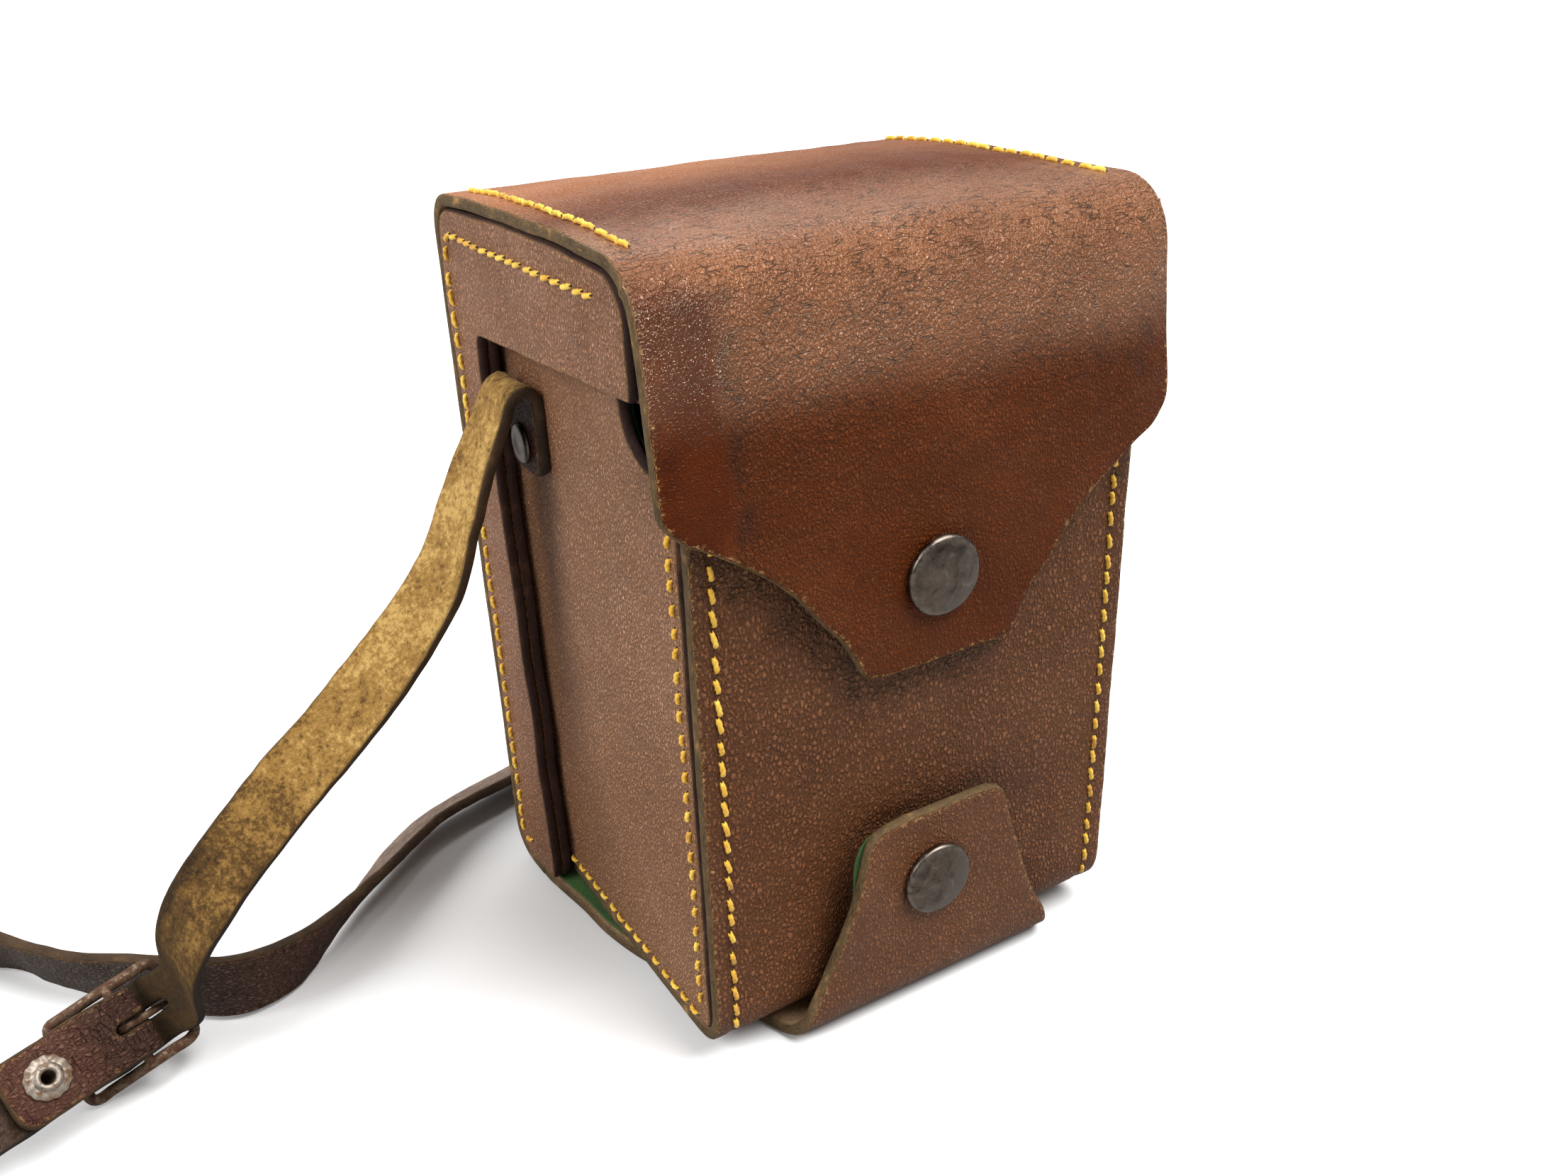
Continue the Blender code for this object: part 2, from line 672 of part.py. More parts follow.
def build_right_strap(swing):
    """From the right fold down and round behind the case, past the left strap, and back to the bar.

    Each waypoint is x, y, z and the lean of the strap's width from upright, in degrees.
    """
    fall = [
        (48.15, 14.5, 114.6, 0),
        (49.0, 14.5, 114.6, 0),
        (50.9, 14.5, 113.0, 0),
        (53.2, 15.0, 108.7, 0),
        (57.0, 18, 98.0, 0),
        (61.0, 24.5, 81.0, 0),
        (64.0, 36, 60.0, 10),
        (65.0, 51, 38.0, 20),
        (61.0, 66, 20.0, 30),
        (48.0, 76, 9.0, 35),
        (28.0, 78, 6.0, 48),
        (4.0, 76.5, 5.0, 58),
        (-20.0, 71, 4.8, 62),
        (-44.5, 62.5, 4.8, 62),
        (-66.0, 54.5, 5.2, 58),
        (-85.5, 37, 6.0, 44),
        (-99.0, 24.5, 6.4, 22),
        (-107.5, 20.0, 7.0, 5),
        (-116.5, 20.5, 7.2, -5),
        (-125.0, 26.5, 7.2, 0),
        (-132.5, 33.5, 7.2, 10),
        (-140.0, 40.0, 7.2, 18),
        (-146.5, 48.0, 7.2, 20),
        (-154.0, 58.0, 7.2, 20),
        (-169.0, 65.5, 7.2, 10),
        (-186.5, 58.0, 7.2, 0),
        (-195.0, 38.0, 7.6, -10),
        (-191.5, 14.5, 9.0, -25),
        (-180.0, -3.5, 11.0, -35),
    ]
    points = [Vector(place[:3]) * MM for place in fall]
    main = [(34.0, -1.3), (24.0, -1.3), (15.0, -1.3), (7.0, -1.9), (2.4, -2.7)]
    points += [at_buckle(s, n) for s, n in main]
    centres = smooth(points)
    leans = [(i, place[3]) for i, place in enumerate(fall)]
    last = len(centres) - 1
    across = []
    for i in range(len(centres)):
        step = i / last * (len(points) - 1)
        ahead = centres[min(i + 1, last)] - centres[max(i - 1, 0)]
        sideways = Vector((-ahead.y, ahead.x, 0)).normalized()
        lean = math.radians(interpolate(leans, step))
        on_edge = sideways * math.sin(lean) + Vector((0, 0, math.cos(lean)))
        width = Vector((0, 1, 0)).lerp(on_edge, ease((step - 4) / 7))
        across.append(width.lerp(ACROSS, ease((step - len(fall) + 4) / 4)))
    fold_radius = BUCKLE_WIRE_RADIUS / MM + GAP / MM + STRAP_THICKNESS / MM / 2
    fold_steps = 8
    for i in range(1, fold_steps + 1):
        angle = math.pi * i / fold_steps
        centres.append(at_buckle(-fold_radius * math.sin(angle), -fold_radius * math.cos(angle)))
        across.append(ACROSS)
    for s, n in ((3.0, 2.6), (7.0, 1.9), (10.0, 1.3), (16.0, 1.3), (22.5, 1.3)):
        centres.append(at_buckle(s, n))
        across.append(ACROSS)
    strap = ribbon("right_strap", centres, across, SUEDE, swing)
    hole(strap, at_buckle(15.5, 0), OUTWARD, 1.9 * MM, 3.0 * MM)
    hole(strap, at_buckle(-3.0, 0), OUTWARD, 1.6 * MM, 8 * MM, 6.0 * MM, ALONG)
    tube = [
        (1.1 * MM, -2.9 * MM),
        (EYELET_RADIUS, -2.9 * MM),
        (EYELET_RADIUS, -2.7 * MM),
        (1.6 * MM, -2.7 * MM),
        (1.6 * MM, 2.7 * MM),
        (EYELET_RADIUS, 2.7 * MM),
        (EYELET_RADIUS - 0.3 * MM, 3.2 * MM),
        (1.6 * MM, 3.4 * MM),
        (1.1 * MM, 3.0 * MM),
    ]
    turned("chape_eyelet", tube, at_buckle(15.5, 0), OUTWARD, BUCKLE_METAL, swing, steps=20)


def build_buckle(swing, prong_axis):
    """A wire frame round the strap with its middle bar, and a prong turning on that bar."""
    half = BUCKLE_HALF_WIDTH / MM
    rail = [(8.0, -6.7), (5.0, -4.8), (0.0, 0.0), (-5.0, 0.3), (-8.2, 0.0)]
    loop = [(s, n, half) for s, n in rail] + [(-9.2, -0.1, half - 1.2), (-9.2, -0.1, -half + 1.2)]
    loop += [(s, n, -half) for s, n in reversed(rail)]
    loop += [(9.2, -7.4, -half + 1.2), (9.2, -7.4, half - 1.2)]
    frame = tube_object("buckle_frame", [at_buckle(s, n, w) for s, n, w in loop], True)
    bar = tube_object("buckle_bar", [at_buckle(0, 0, -half), at_buckle(0, 0, half)], False)
    frame_mesh = mesh_of(frame)
    bar_mesh = mesh_of(bar)
    bpy.data.objects.remove(frame)
    bpy.data.objects.remove(bar)
    buckle = link("buckle_frame", frame_mesh, BUCKLE_METAL, swing)
    bar_cutter = bpy.data.objects.new("buckle_bar", bar_mesh)
    bar_cutter.hide_render = True
    bar_cutter.display_type = "WIRE"
    CUTTERS.objects.link(bar_cutter)
    join = buckle.modifiers.new("bar", "BOOLEAN")
    join.operation = "UNION"
    join.object = bar_cutter
    build_prong(prong_axis)


def tube_object(name, points, closed):
    curve = bpy.data.curves.new(name, "CURVE")
    curve.dimensions = "3D"
    curve.bevel_depth = BUCKLE_WIRE_RADIUS
    curve.bevel_resolution = 2
    curve.use_fill_caps = not closed
    spline = curve.splines.new("POLY")
    spline.points.add(len(points) - 1)
    for point, place in zip(spline.points, points):
        point.co = (*place, 1)
    spline.use_cyclic_u = closed
    obj = bpy.data.objects.new(name, curve)
    CUTTERS.objects.link(obj)
    return obj


def build_prong(axis):
    """A ring loose on the middle bar, with a finger whose tip rests on the frame's far bar."""
    ring_inner = BUCKLE_WIRE_RADIUS + 0.06 * MM
    ring_outer = ring_inner + 0.3 * MM
    half = 0.75 * MM
    profile = [(ring_inner, -half), (ring_outer, -half), (ring_outer, half), (ring_inner, half)]
    prong = turned("buckle_prong", profile, BAR, ACROSS, BUCKLE_METAL, axis, steps=20)
    bm = bmesh.new()
    start = at_buckle(-1.25, -0.55)
    end = at_buckle(-10.4, -2.1)
    run = (end - start).normalized()
    basis = Matrix((run, ACROSS, run.cross(ACROSS))).transposed().to_4x4()
    size = Matrix.Diagonal(((end - start).length, 1.4 * MM, 0.8 * MM, 1))
    place = Matrix.Translation((start + end) / 2) @ basis @ size
    bmesh.ops.create_cube(bm, size=1, matrix=place)
    mesh = bpy.data.meshes.new("prong_finger")
    bm.to_mesh(mesh)
    bm.free()
    finger = bpy.data.objects.new("prong_finger", mesh)
    finger.hide_render = True
    finger.display_type = "WIRE"
    CUTTERS.objects.link(finger)
    join = prong.modifiers.new("finger", "BOOLEAN")
    join.operation = "UNION"
    join.object = finger


# ---------------------------------------------------------------- the case


def build_case():
    cover_swing = joint_empty("rear_cover_swing", (0, COVER_BACK, 0))
    flap_lift = joint_empty("flap_lift", FLAP_LIFT_AXIS)
    flap_open = joint_empty("flap_open", FLAP_OPEN_AXIS)
    tab_open = joint_empty("tab_open", TAB_AXIS)
    strap_swing = joint_empty("strap_swing", STRAP_AXIS)
    prong_swing = joint_empty("prong_swing", BAR)
    build_tray()
    build_base_strip()
    build_studs()
    build_rear_cover(cover_swing)
    build_flap_bend(flap_lift)
    build_flap(flap_open)
    build_tab(tab_open)
    build_strap_ends()
    build_left_strap(strap_swing)
    build_right_strap(strap_swing)
    build_buckle(strap_swing, prong_swing)


build_case()
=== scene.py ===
"""The looks of a leather ever ready case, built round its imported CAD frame.

Every panel is cut from a flat pattern, as a leather worker would: an outline in millimetres, with u
across the panel and v along it. A surface then bends the pattern into place, a relief gives it dents
and swells, and the same flat coordinates carry the grain, so that the grain never slides when a
joint moves. Lengths are in millimetres until a mesh is made, and metres after that.
"""

import json
import math

import bpy
import numpy as np
from mathutils import Matrix, Vector
from mathutils.geometry import delaunay_2d_cdt


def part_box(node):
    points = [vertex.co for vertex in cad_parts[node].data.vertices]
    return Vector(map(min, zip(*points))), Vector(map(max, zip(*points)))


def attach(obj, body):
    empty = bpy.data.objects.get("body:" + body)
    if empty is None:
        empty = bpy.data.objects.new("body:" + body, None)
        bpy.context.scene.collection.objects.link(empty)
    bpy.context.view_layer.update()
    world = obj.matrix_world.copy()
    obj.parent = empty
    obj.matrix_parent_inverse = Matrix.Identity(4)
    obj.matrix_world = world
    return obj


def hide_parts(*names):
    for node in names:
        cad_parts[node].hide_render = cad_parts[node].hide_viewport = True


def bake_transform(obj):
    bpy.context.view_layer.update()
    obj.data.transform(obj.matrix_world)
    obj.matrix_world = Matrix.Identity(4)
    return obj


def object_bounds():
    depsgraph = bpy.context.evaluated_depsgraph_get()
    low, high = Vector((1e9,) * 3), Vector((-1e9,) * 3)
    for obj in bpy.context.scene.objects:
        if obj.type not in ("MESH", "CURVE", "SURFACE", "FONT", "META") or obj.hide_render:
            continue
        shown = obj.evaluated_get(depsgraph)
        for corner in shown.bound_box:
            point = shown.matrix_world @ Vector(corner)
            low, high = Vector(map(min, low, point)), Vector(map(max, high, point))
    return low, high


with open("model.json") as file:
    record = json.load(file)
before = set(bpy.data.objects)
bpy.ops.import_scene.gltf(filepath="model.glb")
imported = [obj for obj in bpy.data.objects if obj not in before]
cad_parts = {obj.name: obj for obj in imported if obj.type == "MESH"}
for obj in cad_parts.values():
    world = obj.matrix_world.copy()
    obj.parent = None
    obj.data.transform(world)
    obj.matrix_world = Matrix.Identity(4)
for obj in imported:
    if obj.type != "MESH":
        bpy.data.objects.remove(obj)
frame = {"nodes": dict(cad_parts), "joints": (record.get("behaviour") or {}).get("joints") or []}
cad_low, cad_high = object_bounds()
MM = 0.001


def corners(node):
    """Lowest and highest corner of a CAD node, in millimetres."""
    low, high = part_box(node)
    return np.array(low) / MM, np.array(high) / MM


HINGE = {joint["name"]: np.array(joint["pos_m"]) / MM for joint in frame["joints"]}
TURN = {joint["name"]: np.array(joint["axis"]) for joint in frame["joints"]}

# Rear cover, flap and gussets
COVER_HIGH = corners("back_top_panel")[1]
HALF_WIDTH = COVER_HIGH[0]
BACK = COVER_HIGH[1]
TOP = COVER_HIGH[2]
FLAP_LOW = corners("front_flap")[0]
FACE = FLAP_LOW[1]
TONGUE = FLAP_LOW[2]
LIFT = HINGE["flap_lift"]
OPEN = HINGE["flap_open"]
BEND_RADIUS = LIFT[2] - OPEN[2]
BACK_RADIUS = 7.0
HINGE_TOP = 14.0
HINGE_RADIUS = 8.0
STRIP_REAR = 28.0
GUSSET_FRONT = corners("left_gusset")[0][1]
GUSSET_BACK_ARM = 25.5
GUSSET_ARM_REAR = 121.5
GUSSET_ARM_FRONT = 125.5

# Tray
TRAY_LOW, TRAY_HIGH = corners("front_base_panel")
TRAY_HALF = TRAY_HIGH[0]
TRAY_FRONT = TRAY_LOW[1]
TRAY_REAR = TRAY_HIGH[1]
TRAY_FLOOR = TRAY_LOW[2]
TRAY_TOP = TRAY_HIGH[2]
TRAY_RADIUS = 7.0
SIDE_LOW, SIDE_HIGH = corners("left_side_panel")
SIDE_SHOULDER = 112.0
SCOOP_RADIUS = 9.8

# Base strip and tab
TAB_HIGH = corners("base_tab")[1]
STRIP_RADIUS = HINGE["tab_open"][2]

# Sheets
LEATHER = 2.2
GUSSET_LEATHER = 1.9
FELT = 0.7
GAP = 0.3
EDGE_RADIUS = 0.5
SIDES = (("left", -1), ("right", 1))

# Radii of the holes cut in leather and in felt, and half the width of the strap's slots
STUD_HOLE = 2.5
RIVET_HOLE = 1.5
STRAP_RIVET_HOLE = 1.45
EYELET_HOLE = 1.7
SLOT_HALF = 0.9
FELT_SOCKET_HOLE = 6.2
FELT_STUD_HOLE = 5.2
FELT_WASHER_HOLE = 4.6

# Stitches
COVER_SEAM_INSET = 4.6
TRAY_SEAM_INSET = 4.0
STITCH_PITCH = 3.9
THREAD_RADIUS = 0.42
THREAD_PLY = 0.17
THREAD_TWIST = 4.6

# Snaps, rivets and strap
UPPER_SNAP = sum(corners("upper_snap_cap"))[2] / 2
LOWER_SNAP = sum(corners("lower_snap_cap"))[2] / 2
CAP_RADIUS = np.ptp(corners("upper_snap_cap"), axis=0)[2] / 2
RIVET_HEIGHT = sum(corners("left_strap_rivet"))[2] / 2
STRAP_WIDTH = 13.0
STRAP_THICKNESS = 2.2
FOLD = HINGE["strap_swing"]
STRAP_END_BOTTOM = corners("left_strap_end")[0][2]

# Buckle: the middle bar, and the directions across the strap, along it and out of its face
BAR = HINGE["prong_swing"]
ACROSS = TURN["prong_swing"] / np.linalg.norm(TURN["prong_swing"])
ALONG = np.array([ACROSS[1], -ACROSS[0], 0.0])
ALONG = -ALONG / np.linalg.norm(ALONG)
OUTWARD = np.cross(ACROSS, ALONG)
WIRE = 1.0


# ---------------------------------------------------------------- curves and reliefs


def unit(vectors):
    return vectors / np.maximum(np.linalg.norm(vectors, axis=-1, keepdims=True), 1e-9)


def smoothstep(value, start, end):
    """0 at start, 1 at end, and a smooth step between them. End may be below start."""
    share = np.clip((np.asarray(value, float) - start) / (end - start), 0, 1)
    return share * share * (3 - 2 * share)


def arc(centre, radius, start, end, steps=12):
    """Points on an arc. Angles are in degrees from the first axis towards the second."""
    angles = np.radians(np.linspace(start, end, steps + 1))
    return [(centre[0] + radius * math.cos(a), centre[1] + radius * math.sin(a)) for a in angles]


def lengths(points):
    """Distance along a polyline at each of its points."""
    steps = np.linalg.norm(np.diff(points, axis=0), axis=1)
    return np.concatenate([[0], np.cumsum(steps)])


def read_at(at, along, points):
    """Points of a polyline, or values at its points, read at given lengths along it."""
    return np.stack([np.interp(at, along, points[:, i]) for i in range(points.shape[1])], 1)


def resample(points, spacing, closed=False):
    """A polyline with even steps of about this spacing."""
    points = np.array(points, float)
    if closed:
        points = np.vstack([points, points[:1]])
    along = lengths(points)
    count = max(int(round(along[-1] / spacing)), 2)
    made = read_at(np.linspace(0, along[-1], count + 1), along, points)
    return made[:-1] if closed else made


def curve_through(points, per_span=8):
    """A Catmull-Rom curve through the points."""
    points = np.array(points, float)
    padded = np.vstack([2 * points[0] - points[1], points, 2 * points[-1] - points[-2]])
    made = []
    for p0, p1, p2, p3 in zip(padded, padded[1:], padded[2:], padded[3:]):
        for t in np.arange(per_span) / per_span:
            made.append(
                0.5 * (2 * p1 + (p2 - p0) * t + (2 * p0 - 5 * p1 + 4 * p2 - p3) * t**2
                       + (3 * p1 - p0 - 3 * p2 + p3) * t**3)
            )
    return np.array(made + [points[-1]])


def rounded(outline, radius_steps=6):
    """A closed outline from (u, v, corner radius) points."""
    made = []
    count = len(outline)
    for i, (u, v, radius) in enumerate(outline):
        here = np.array([u, v], float)
        before = np.array(outline[i - 1][:2], float)
        after = np.array(outline[(i + 1) % count][:2], float)
        if radius == 0:
            made.append(here)
            continue
        back = unit(before - here)
        ahead = unit(after - here)
        reach = radius / math.tan(math.acos(np.clip(back @ ahead, -0.999, 0.999)) / 2)
        reach = min(reach, np.linalg.norm(before - here) / 2, np.linalg.norm(after - here) / 2)
        start = here + back * reach
        end = here + ahead * reach
        for t in np.linspace(0, 1, radius_steps):
            made.append((1 - t) ** 2 * start + 2 * t * (1 - t) * here + t**2 * end)
    return np.array(made)


def box_outline(half, start, end, start_radius=0, end_radius=0):
    """A rectangle about u = 0, from one v to another."""
    return rounded([
        (-half, start, start_radius), (half, start, start_radius),
        (half, end, end_radius), (-half, end, end_radius),
    ])


def hole(u, v, radius, sides=36):
    """A round hole's outline."""
    return arc((u, v), radius, 0, 360 - 360 / sides, sides - 1)


def ripple(u, v, size, seed):
    """A smooth random height, mostly between -1 and 1, of plane waves about this long."""
    random = np.random.default_rng(seed)
    height = np.zeros(np.shape(u))
    for _ in range(9):
        angle, phase = random.uniform(0, 2 * math.pi, 2)
        wave = 2 * math.pi / (size * random.uniform(0.7, 1.6))
        height += np.sin(wave * (u * math.cos(angle) + v * math.sin(angle)) + phase)
    return height / 4


def uneven(u, v, seed, *waves):
    """Ripples of (height, size) added together, with seeds that count up from the given one."""
    return sum(height * ripple(u, v, size, seed + i) for i, (height, size) in enumerate(waves))


def dent(u, v, centre, radius):
    """1 at the centre, falling to 0 with a bell's slope."""
    return np.exp(-((u - centre[0]) ** 2 + (v - centre[1]) ** 2) / radius**2)


# ---------------------------------------------------------------- surfaces


class Bent:
    """A sheet bent along a profile in the YZ plane: u is X, and v is the length along the profile."""

    def __init__(self, profile, soften=1.5):
        step = 0.4
        points = resample(profile, step)
        reach = int(3 * soften / step)
        if reach:
            weights = np.exp(-0.5 * (np.arange(-reach, reach + 1) * step / soften) ** 2)
            weights /= weights.sum()
            first = 2 * points[0] - points[reach:0:-1]
            last = 2 * points[-1] - points[-2 : -reach - 2 : -1]
            padded = np.vstack([first, points, last])
            points = np.stack([np.convolve(padded[:, i], weights, "valid") for i in range(2)], 1)
        self.points = points
        self.length = lengths(points)
        run = unit(np.gradient(points, axis=0))
        self.normals = np.stack([-run[:, 1], run[:, 0]], 1)

    def at(self, u, v):
        places = read_at(v, self.length, self.points)
        normals = read_at(v, self.length, self.normals)
        return np.column_stack([u, places]), unit(np.column_stack([np.zeros_like(u), normals]))

    def mark(self, y, z):
        """v at the point of the profile nearest to (y, z)."""
        return self.length[np.argmin(np.hypot(self.points[:, 0] - y, self.points[:, 1] - z))]

    def end(self):
        return self.length[-1]


class Plate:
    """A flat sheet at one X: u is Y, v is Z, and its outer face looks to the given side."""

    def __init__(self, x, side):
        self.x = x
        self.side = side

    def at(self, u, v):
        normal = np.tile([float(self.side), 0.0, 0.0], (len(u), 1))
        return np.stack([np.full_like(u, self.x), u, v], 1), normal


class Inside:
    """The surface a fixed distance inside another one."""

    def __init__(self, surface, distance):
        self.surface = surface
        self.distance = distance

    def at(self, u, v):
        places, normals = self.surface.at(u, v)
        return places - normals * self.distance, normals


class Band:
    """A strap along a centre line, with its width along a direction at each point of the line."""

    def __init__(self, centres, widths):
        self.centres = np.array(centres)
        self.length = lengths(self.centres)
        run = unit(np.gradient(self.centres, axis=0))
        self.widths = unit(np.array(widths))
        self.normals = unit(np.cross(run, self.widths))

    def at(self, u, v):
        centre = read_at(v, self.length, self.centres)
        width = unit(read_at(v, self.length, self.widths))
        normal = unit(read_at(v, self.length, self.normals))
        return centre + width * u[:, None] + normal * STRAP_THICKNESS / 2, normal

    def mark(self, point, after=0.0):
        """v at the point of the centre line nearest to a point, past a given length."""
        away = np.linalg.norm(self.centres - point, axis=1)
        away[self.length < after] = np.inf
        return self.length[np.argmin(away)]

    def end(self):
        return self.length[-1]


# ---------------------------------------------------------------- panels


def inside(points, loops):
    """Whether each point lies inside the first loop and outside the others, which are holes in it."""
    found = np.zeros(len(points), bool)
    for loop in loops:
        for a, b in zip(loop, np.roll(loop, -1, axis=0)):
            if a[1] == b[1]:
                continue
            crosses = (a[1] > points[:, 1]) != (b[1] > points[:, 1])
            at = a[0] + (points[:, 1] - a[1]) / (b[1] - a[1]) * (b[0] - a[0])
            found ^= crosses & (points[:, 0] < at)
    return found


def edge_distance(points, loops, plain=None):
    """Distance from each point to the nearest of the loops, less their plain steps."""
    nearest = np.full(len(points), np.inf)
    for loop in loops:
        for a, b in zip(loop, np.roll(loop, -1, axis=0)):
            if plain is not None and plain(*np.array([a, b]).T).all():
                continue
            run = b - a
            share = np.clip((points - a) @ run / max(run @ run, 1e-12), 0, 1)
            away = points - a - share[:, None] * run
            nearest = np.minimum(nearest, np.hypot(away[:, 0], away[:, 1]))
    return nearest


def signed_area(loop):
    ahead = np.roll(loop, -1, axis=0)
    return (loop[:, 0] * ahead[:, 1] - ahead[:, 0] * loop[:, 1]).sum() / 2


def pulled_in(loop, distance):
    """The loop moved into the material. An outer loop runs anticlockwise, and a hole clockwise."""
    run = unit(np.roll(loop, -1, axis=0) - np.roll(loop, 1, axis=0))
    return loop + np.stack([-run[:, 1], run[:, 0]], 1) * np.reshape(distance, (-1, 1))


def filled(loops, spacing):
    """Points and triangles that fill the loops. The loops' own points come first, in order."""
    low = loops[0].min(0)
    high = loops[0].max(0)
    # rows of equal triangles, every other one moved by half a step
    rows = np.arange(low[1], high[1], spacing * 0.866)
    grid = np.vstack([
        [(across, row) for across in np.arange(low[0] + (i % 2) * spacing / 2, high[0], spacing)]
        for i, row in enumerate(rows)
    ])
    grid = grid[inside(grid, loops)]
    grid = grid[edge_distance(grid, loops) > spacing * 0.6]
    edges = []
    start = 0
    for loop in loops:
        count = len(loop)
        edges += [(start + i, start + (i + 1) % count) for i in range(count)]
        start += count
    points = np.vstack([*loops, grid])
    verts, _, faces, sources, _, _ = delaunay_2d_cdt([Vector(p) for p in points], edges, [], 0, 1e-7)
    if len(verts) != len(points):
        raise ValueError("the pattern's loops cross or repeat a point")
    origin = np.array([source[0] for source in sources])
    triangles = origin[np.array([tuple(face) for face in faces])]
    triangles = triangles[inside(points[triangles].mean(1), loops)]
    a, b, c = (points[triangles[:, i]] for i in range(3))
    along, beside = b - a, c - a
    turned_over = along[:, 0] * beside[:, 1] < along[:, 1] * beside[:, 0]
    triangles[turned_over] = triangles[turned_over][:, ::-1]
    return points, triangles


# Steps over a rounded cut edge: the share of its radius that is left, and the share of the thickness
RIM = ((1.0, 0.0), (0.5, 0.07), (0.15, 0.22), (0.0, 0.5), (0.15, 0.78), (0.5, 0.93), (1.0, 1.0))


def panel(name, surface, outline, thickness, finishes, spacing, holes=(), relief=None, masks=None, plain=None):
    """A closed sheet with rounded cut edges.

    Finishes are those of the outer face, the cut edge and the inner face. Relief and masks take
    (u, v), and give a height in millimetres and a dict of named vertex values. Plain says at which
    points of the outline the edge stays square, where the sheet goes on in the next piece.
    """
    loops = [resample(outline, spacing, closed=True)]
    loops += [resample(hole, min(spacing, 0.5), closed=True) for hole in holes]
    loops = [
        loop if (signed_area(loop) > 0) == (i == 0) else loop[::-1].copy() for i, loop in enumerate(loops)
    ]
    insets = [np.full(len(loop), min(EDGE_RADIUS, thickness / 2)) for loop in loops]
    if plain is not None:
        insets[0][plain(loops[0][:, 0], loops[0][:, 1])] = 0
    face_loops = [pulled_in(loop, inset) for loop, inset in zip(loops, insets)]
    points, triangles = filled(face_loops, spacing)
    count = len(points)
    flat = [points]
    depth = [np.zeros(count)]
    for share, down in RIM[1:-1]:
        for loop, inset in zip(loops, insets):
            flat.append(pulled_in(loop, inset * share))
            depth.append(np.full(len(loop), down))
    flat.append(points)
    depth.append(np.ones(count))
    flat = np.vstack(flat)
    depth = np.concatenate(depth)
    faces = [(tuple(t), 0) for t in triangles]
    last = len(flat) - count
    faces += [(tuple(t[::-1] + last), 2) for t in triangles]
    ring_size = sum(len(loop) for loop in loops)
    rings = [0] + [count + i * ring_size for i in range(len(RIM) - 2)] + [last]
    start = 0
    for loop in loops:
        steps = np.arange(len(loop))
        for i, (upper, lower) in enumerate(zip(rings, rings[1:])):
            here, there = upper + start + steps, lower + start + steps
            part = 0 if i == 0 else 2 if i == len(RIM) - 2 else 1
            quads = np.stack([here, there, np.roll(there, -1), np.roll(here, -1)], 1)
            faces += [(tuple(quad), part) for quad in quads]
        start += len(loop)
    u, v = flat.T.copy()
    places, normals = surface.at(u, v)
    height = relief(u, v) if relief else np.zeros(len(u))
    places = places + normals * (height - depth * thickness)[:, None]
    values = masks(u, v) if masks else {}
    values["edge"] = edge_distance(flat, loops, plain)
    grain = np.stack([u, v, depth * 40], 1)
    obj = mesh_object(name, places, [face for face, _ in faces], finishes, [part for _, part in faces])
    add_values(obj, grain, values)
    obj.data.set_sharp_from_angle(angle=math.radians(62))
    return obj


def felt_panel(name, surface, outline, spacing, **more):
    """A panel of felt, green all through."""
    return panel(name, surface, outline, FELT, [FELT_GREEN] * 3, spacing, **more)


def settle(piece, moves, slot_name, *nodes):
    """Attaches a piece to the body it rides on, or, given the two it would blend between, only bakes its
    place; then hides its CAD nodes. The slot name is not used.
    """
    if isinstance(moves, str):
        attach(piece, moves)
    else:
        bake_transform(piece)
    if nodes:
        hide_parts(*nodes)


def mesh_object(name, places, faces, finishes, parts=None):
    """A mesh object from places in millimetres."""
    mesh = bpy.data.meshes.new(name)
    mesh.from_pydata(np.asarray(places) * MM, [], [tuple(int(i) for i in face) for face in faces])
    for finish in finishes:
        mesh.materials.append(finish)
    if parts is not None:
        mesh.polygons.foreach_set("material_index", np.array(parts, np.int32))
    mesh.shade_smooth()
    # a surface that mirrors its pattern leaves the mesh inside out, with a negative volume
    spots = np.array([v.co for v in mesh.vertices])
    mesh.calc_loop_triangles()
    loops = np.empty(len(mesh.loop_triangles) * 3, np.int32)
    mesh.loop_triangles.foreach_get("vertices", loops)
    a, b, c = (spots[loops.reshape(-1, 3)[:, i]] for i in range(3))
    if np.einsum("ij,ij->i", a, np.cross(b, c)).sum() < 0:
        mesh.flip_normals()
    mesh.update()
    obj = bpy.data.objects.new(name, mesh)
    bpy.context.scene.collection.objects.link(obj)
    return obj


def add_values(obj, grain, values):
    """Stores the flat coordinates and the named values on the mesh's vertices."""
    layer = obj.data.attributes.new("grain", "FLOAT_VECTOR", "POINT")
    layer.data.foreach_set("vector", np.asarray(grain, np.float32).ravel())
    for name, value in values.items():
        layer = obj.data.attributes.new(name, "FLOAT", "POINT")
        layer.data.foreach_set("value", np.asarray(value, np.float32))


# ---------------------------------------------------------------- thread, turned parts and wire


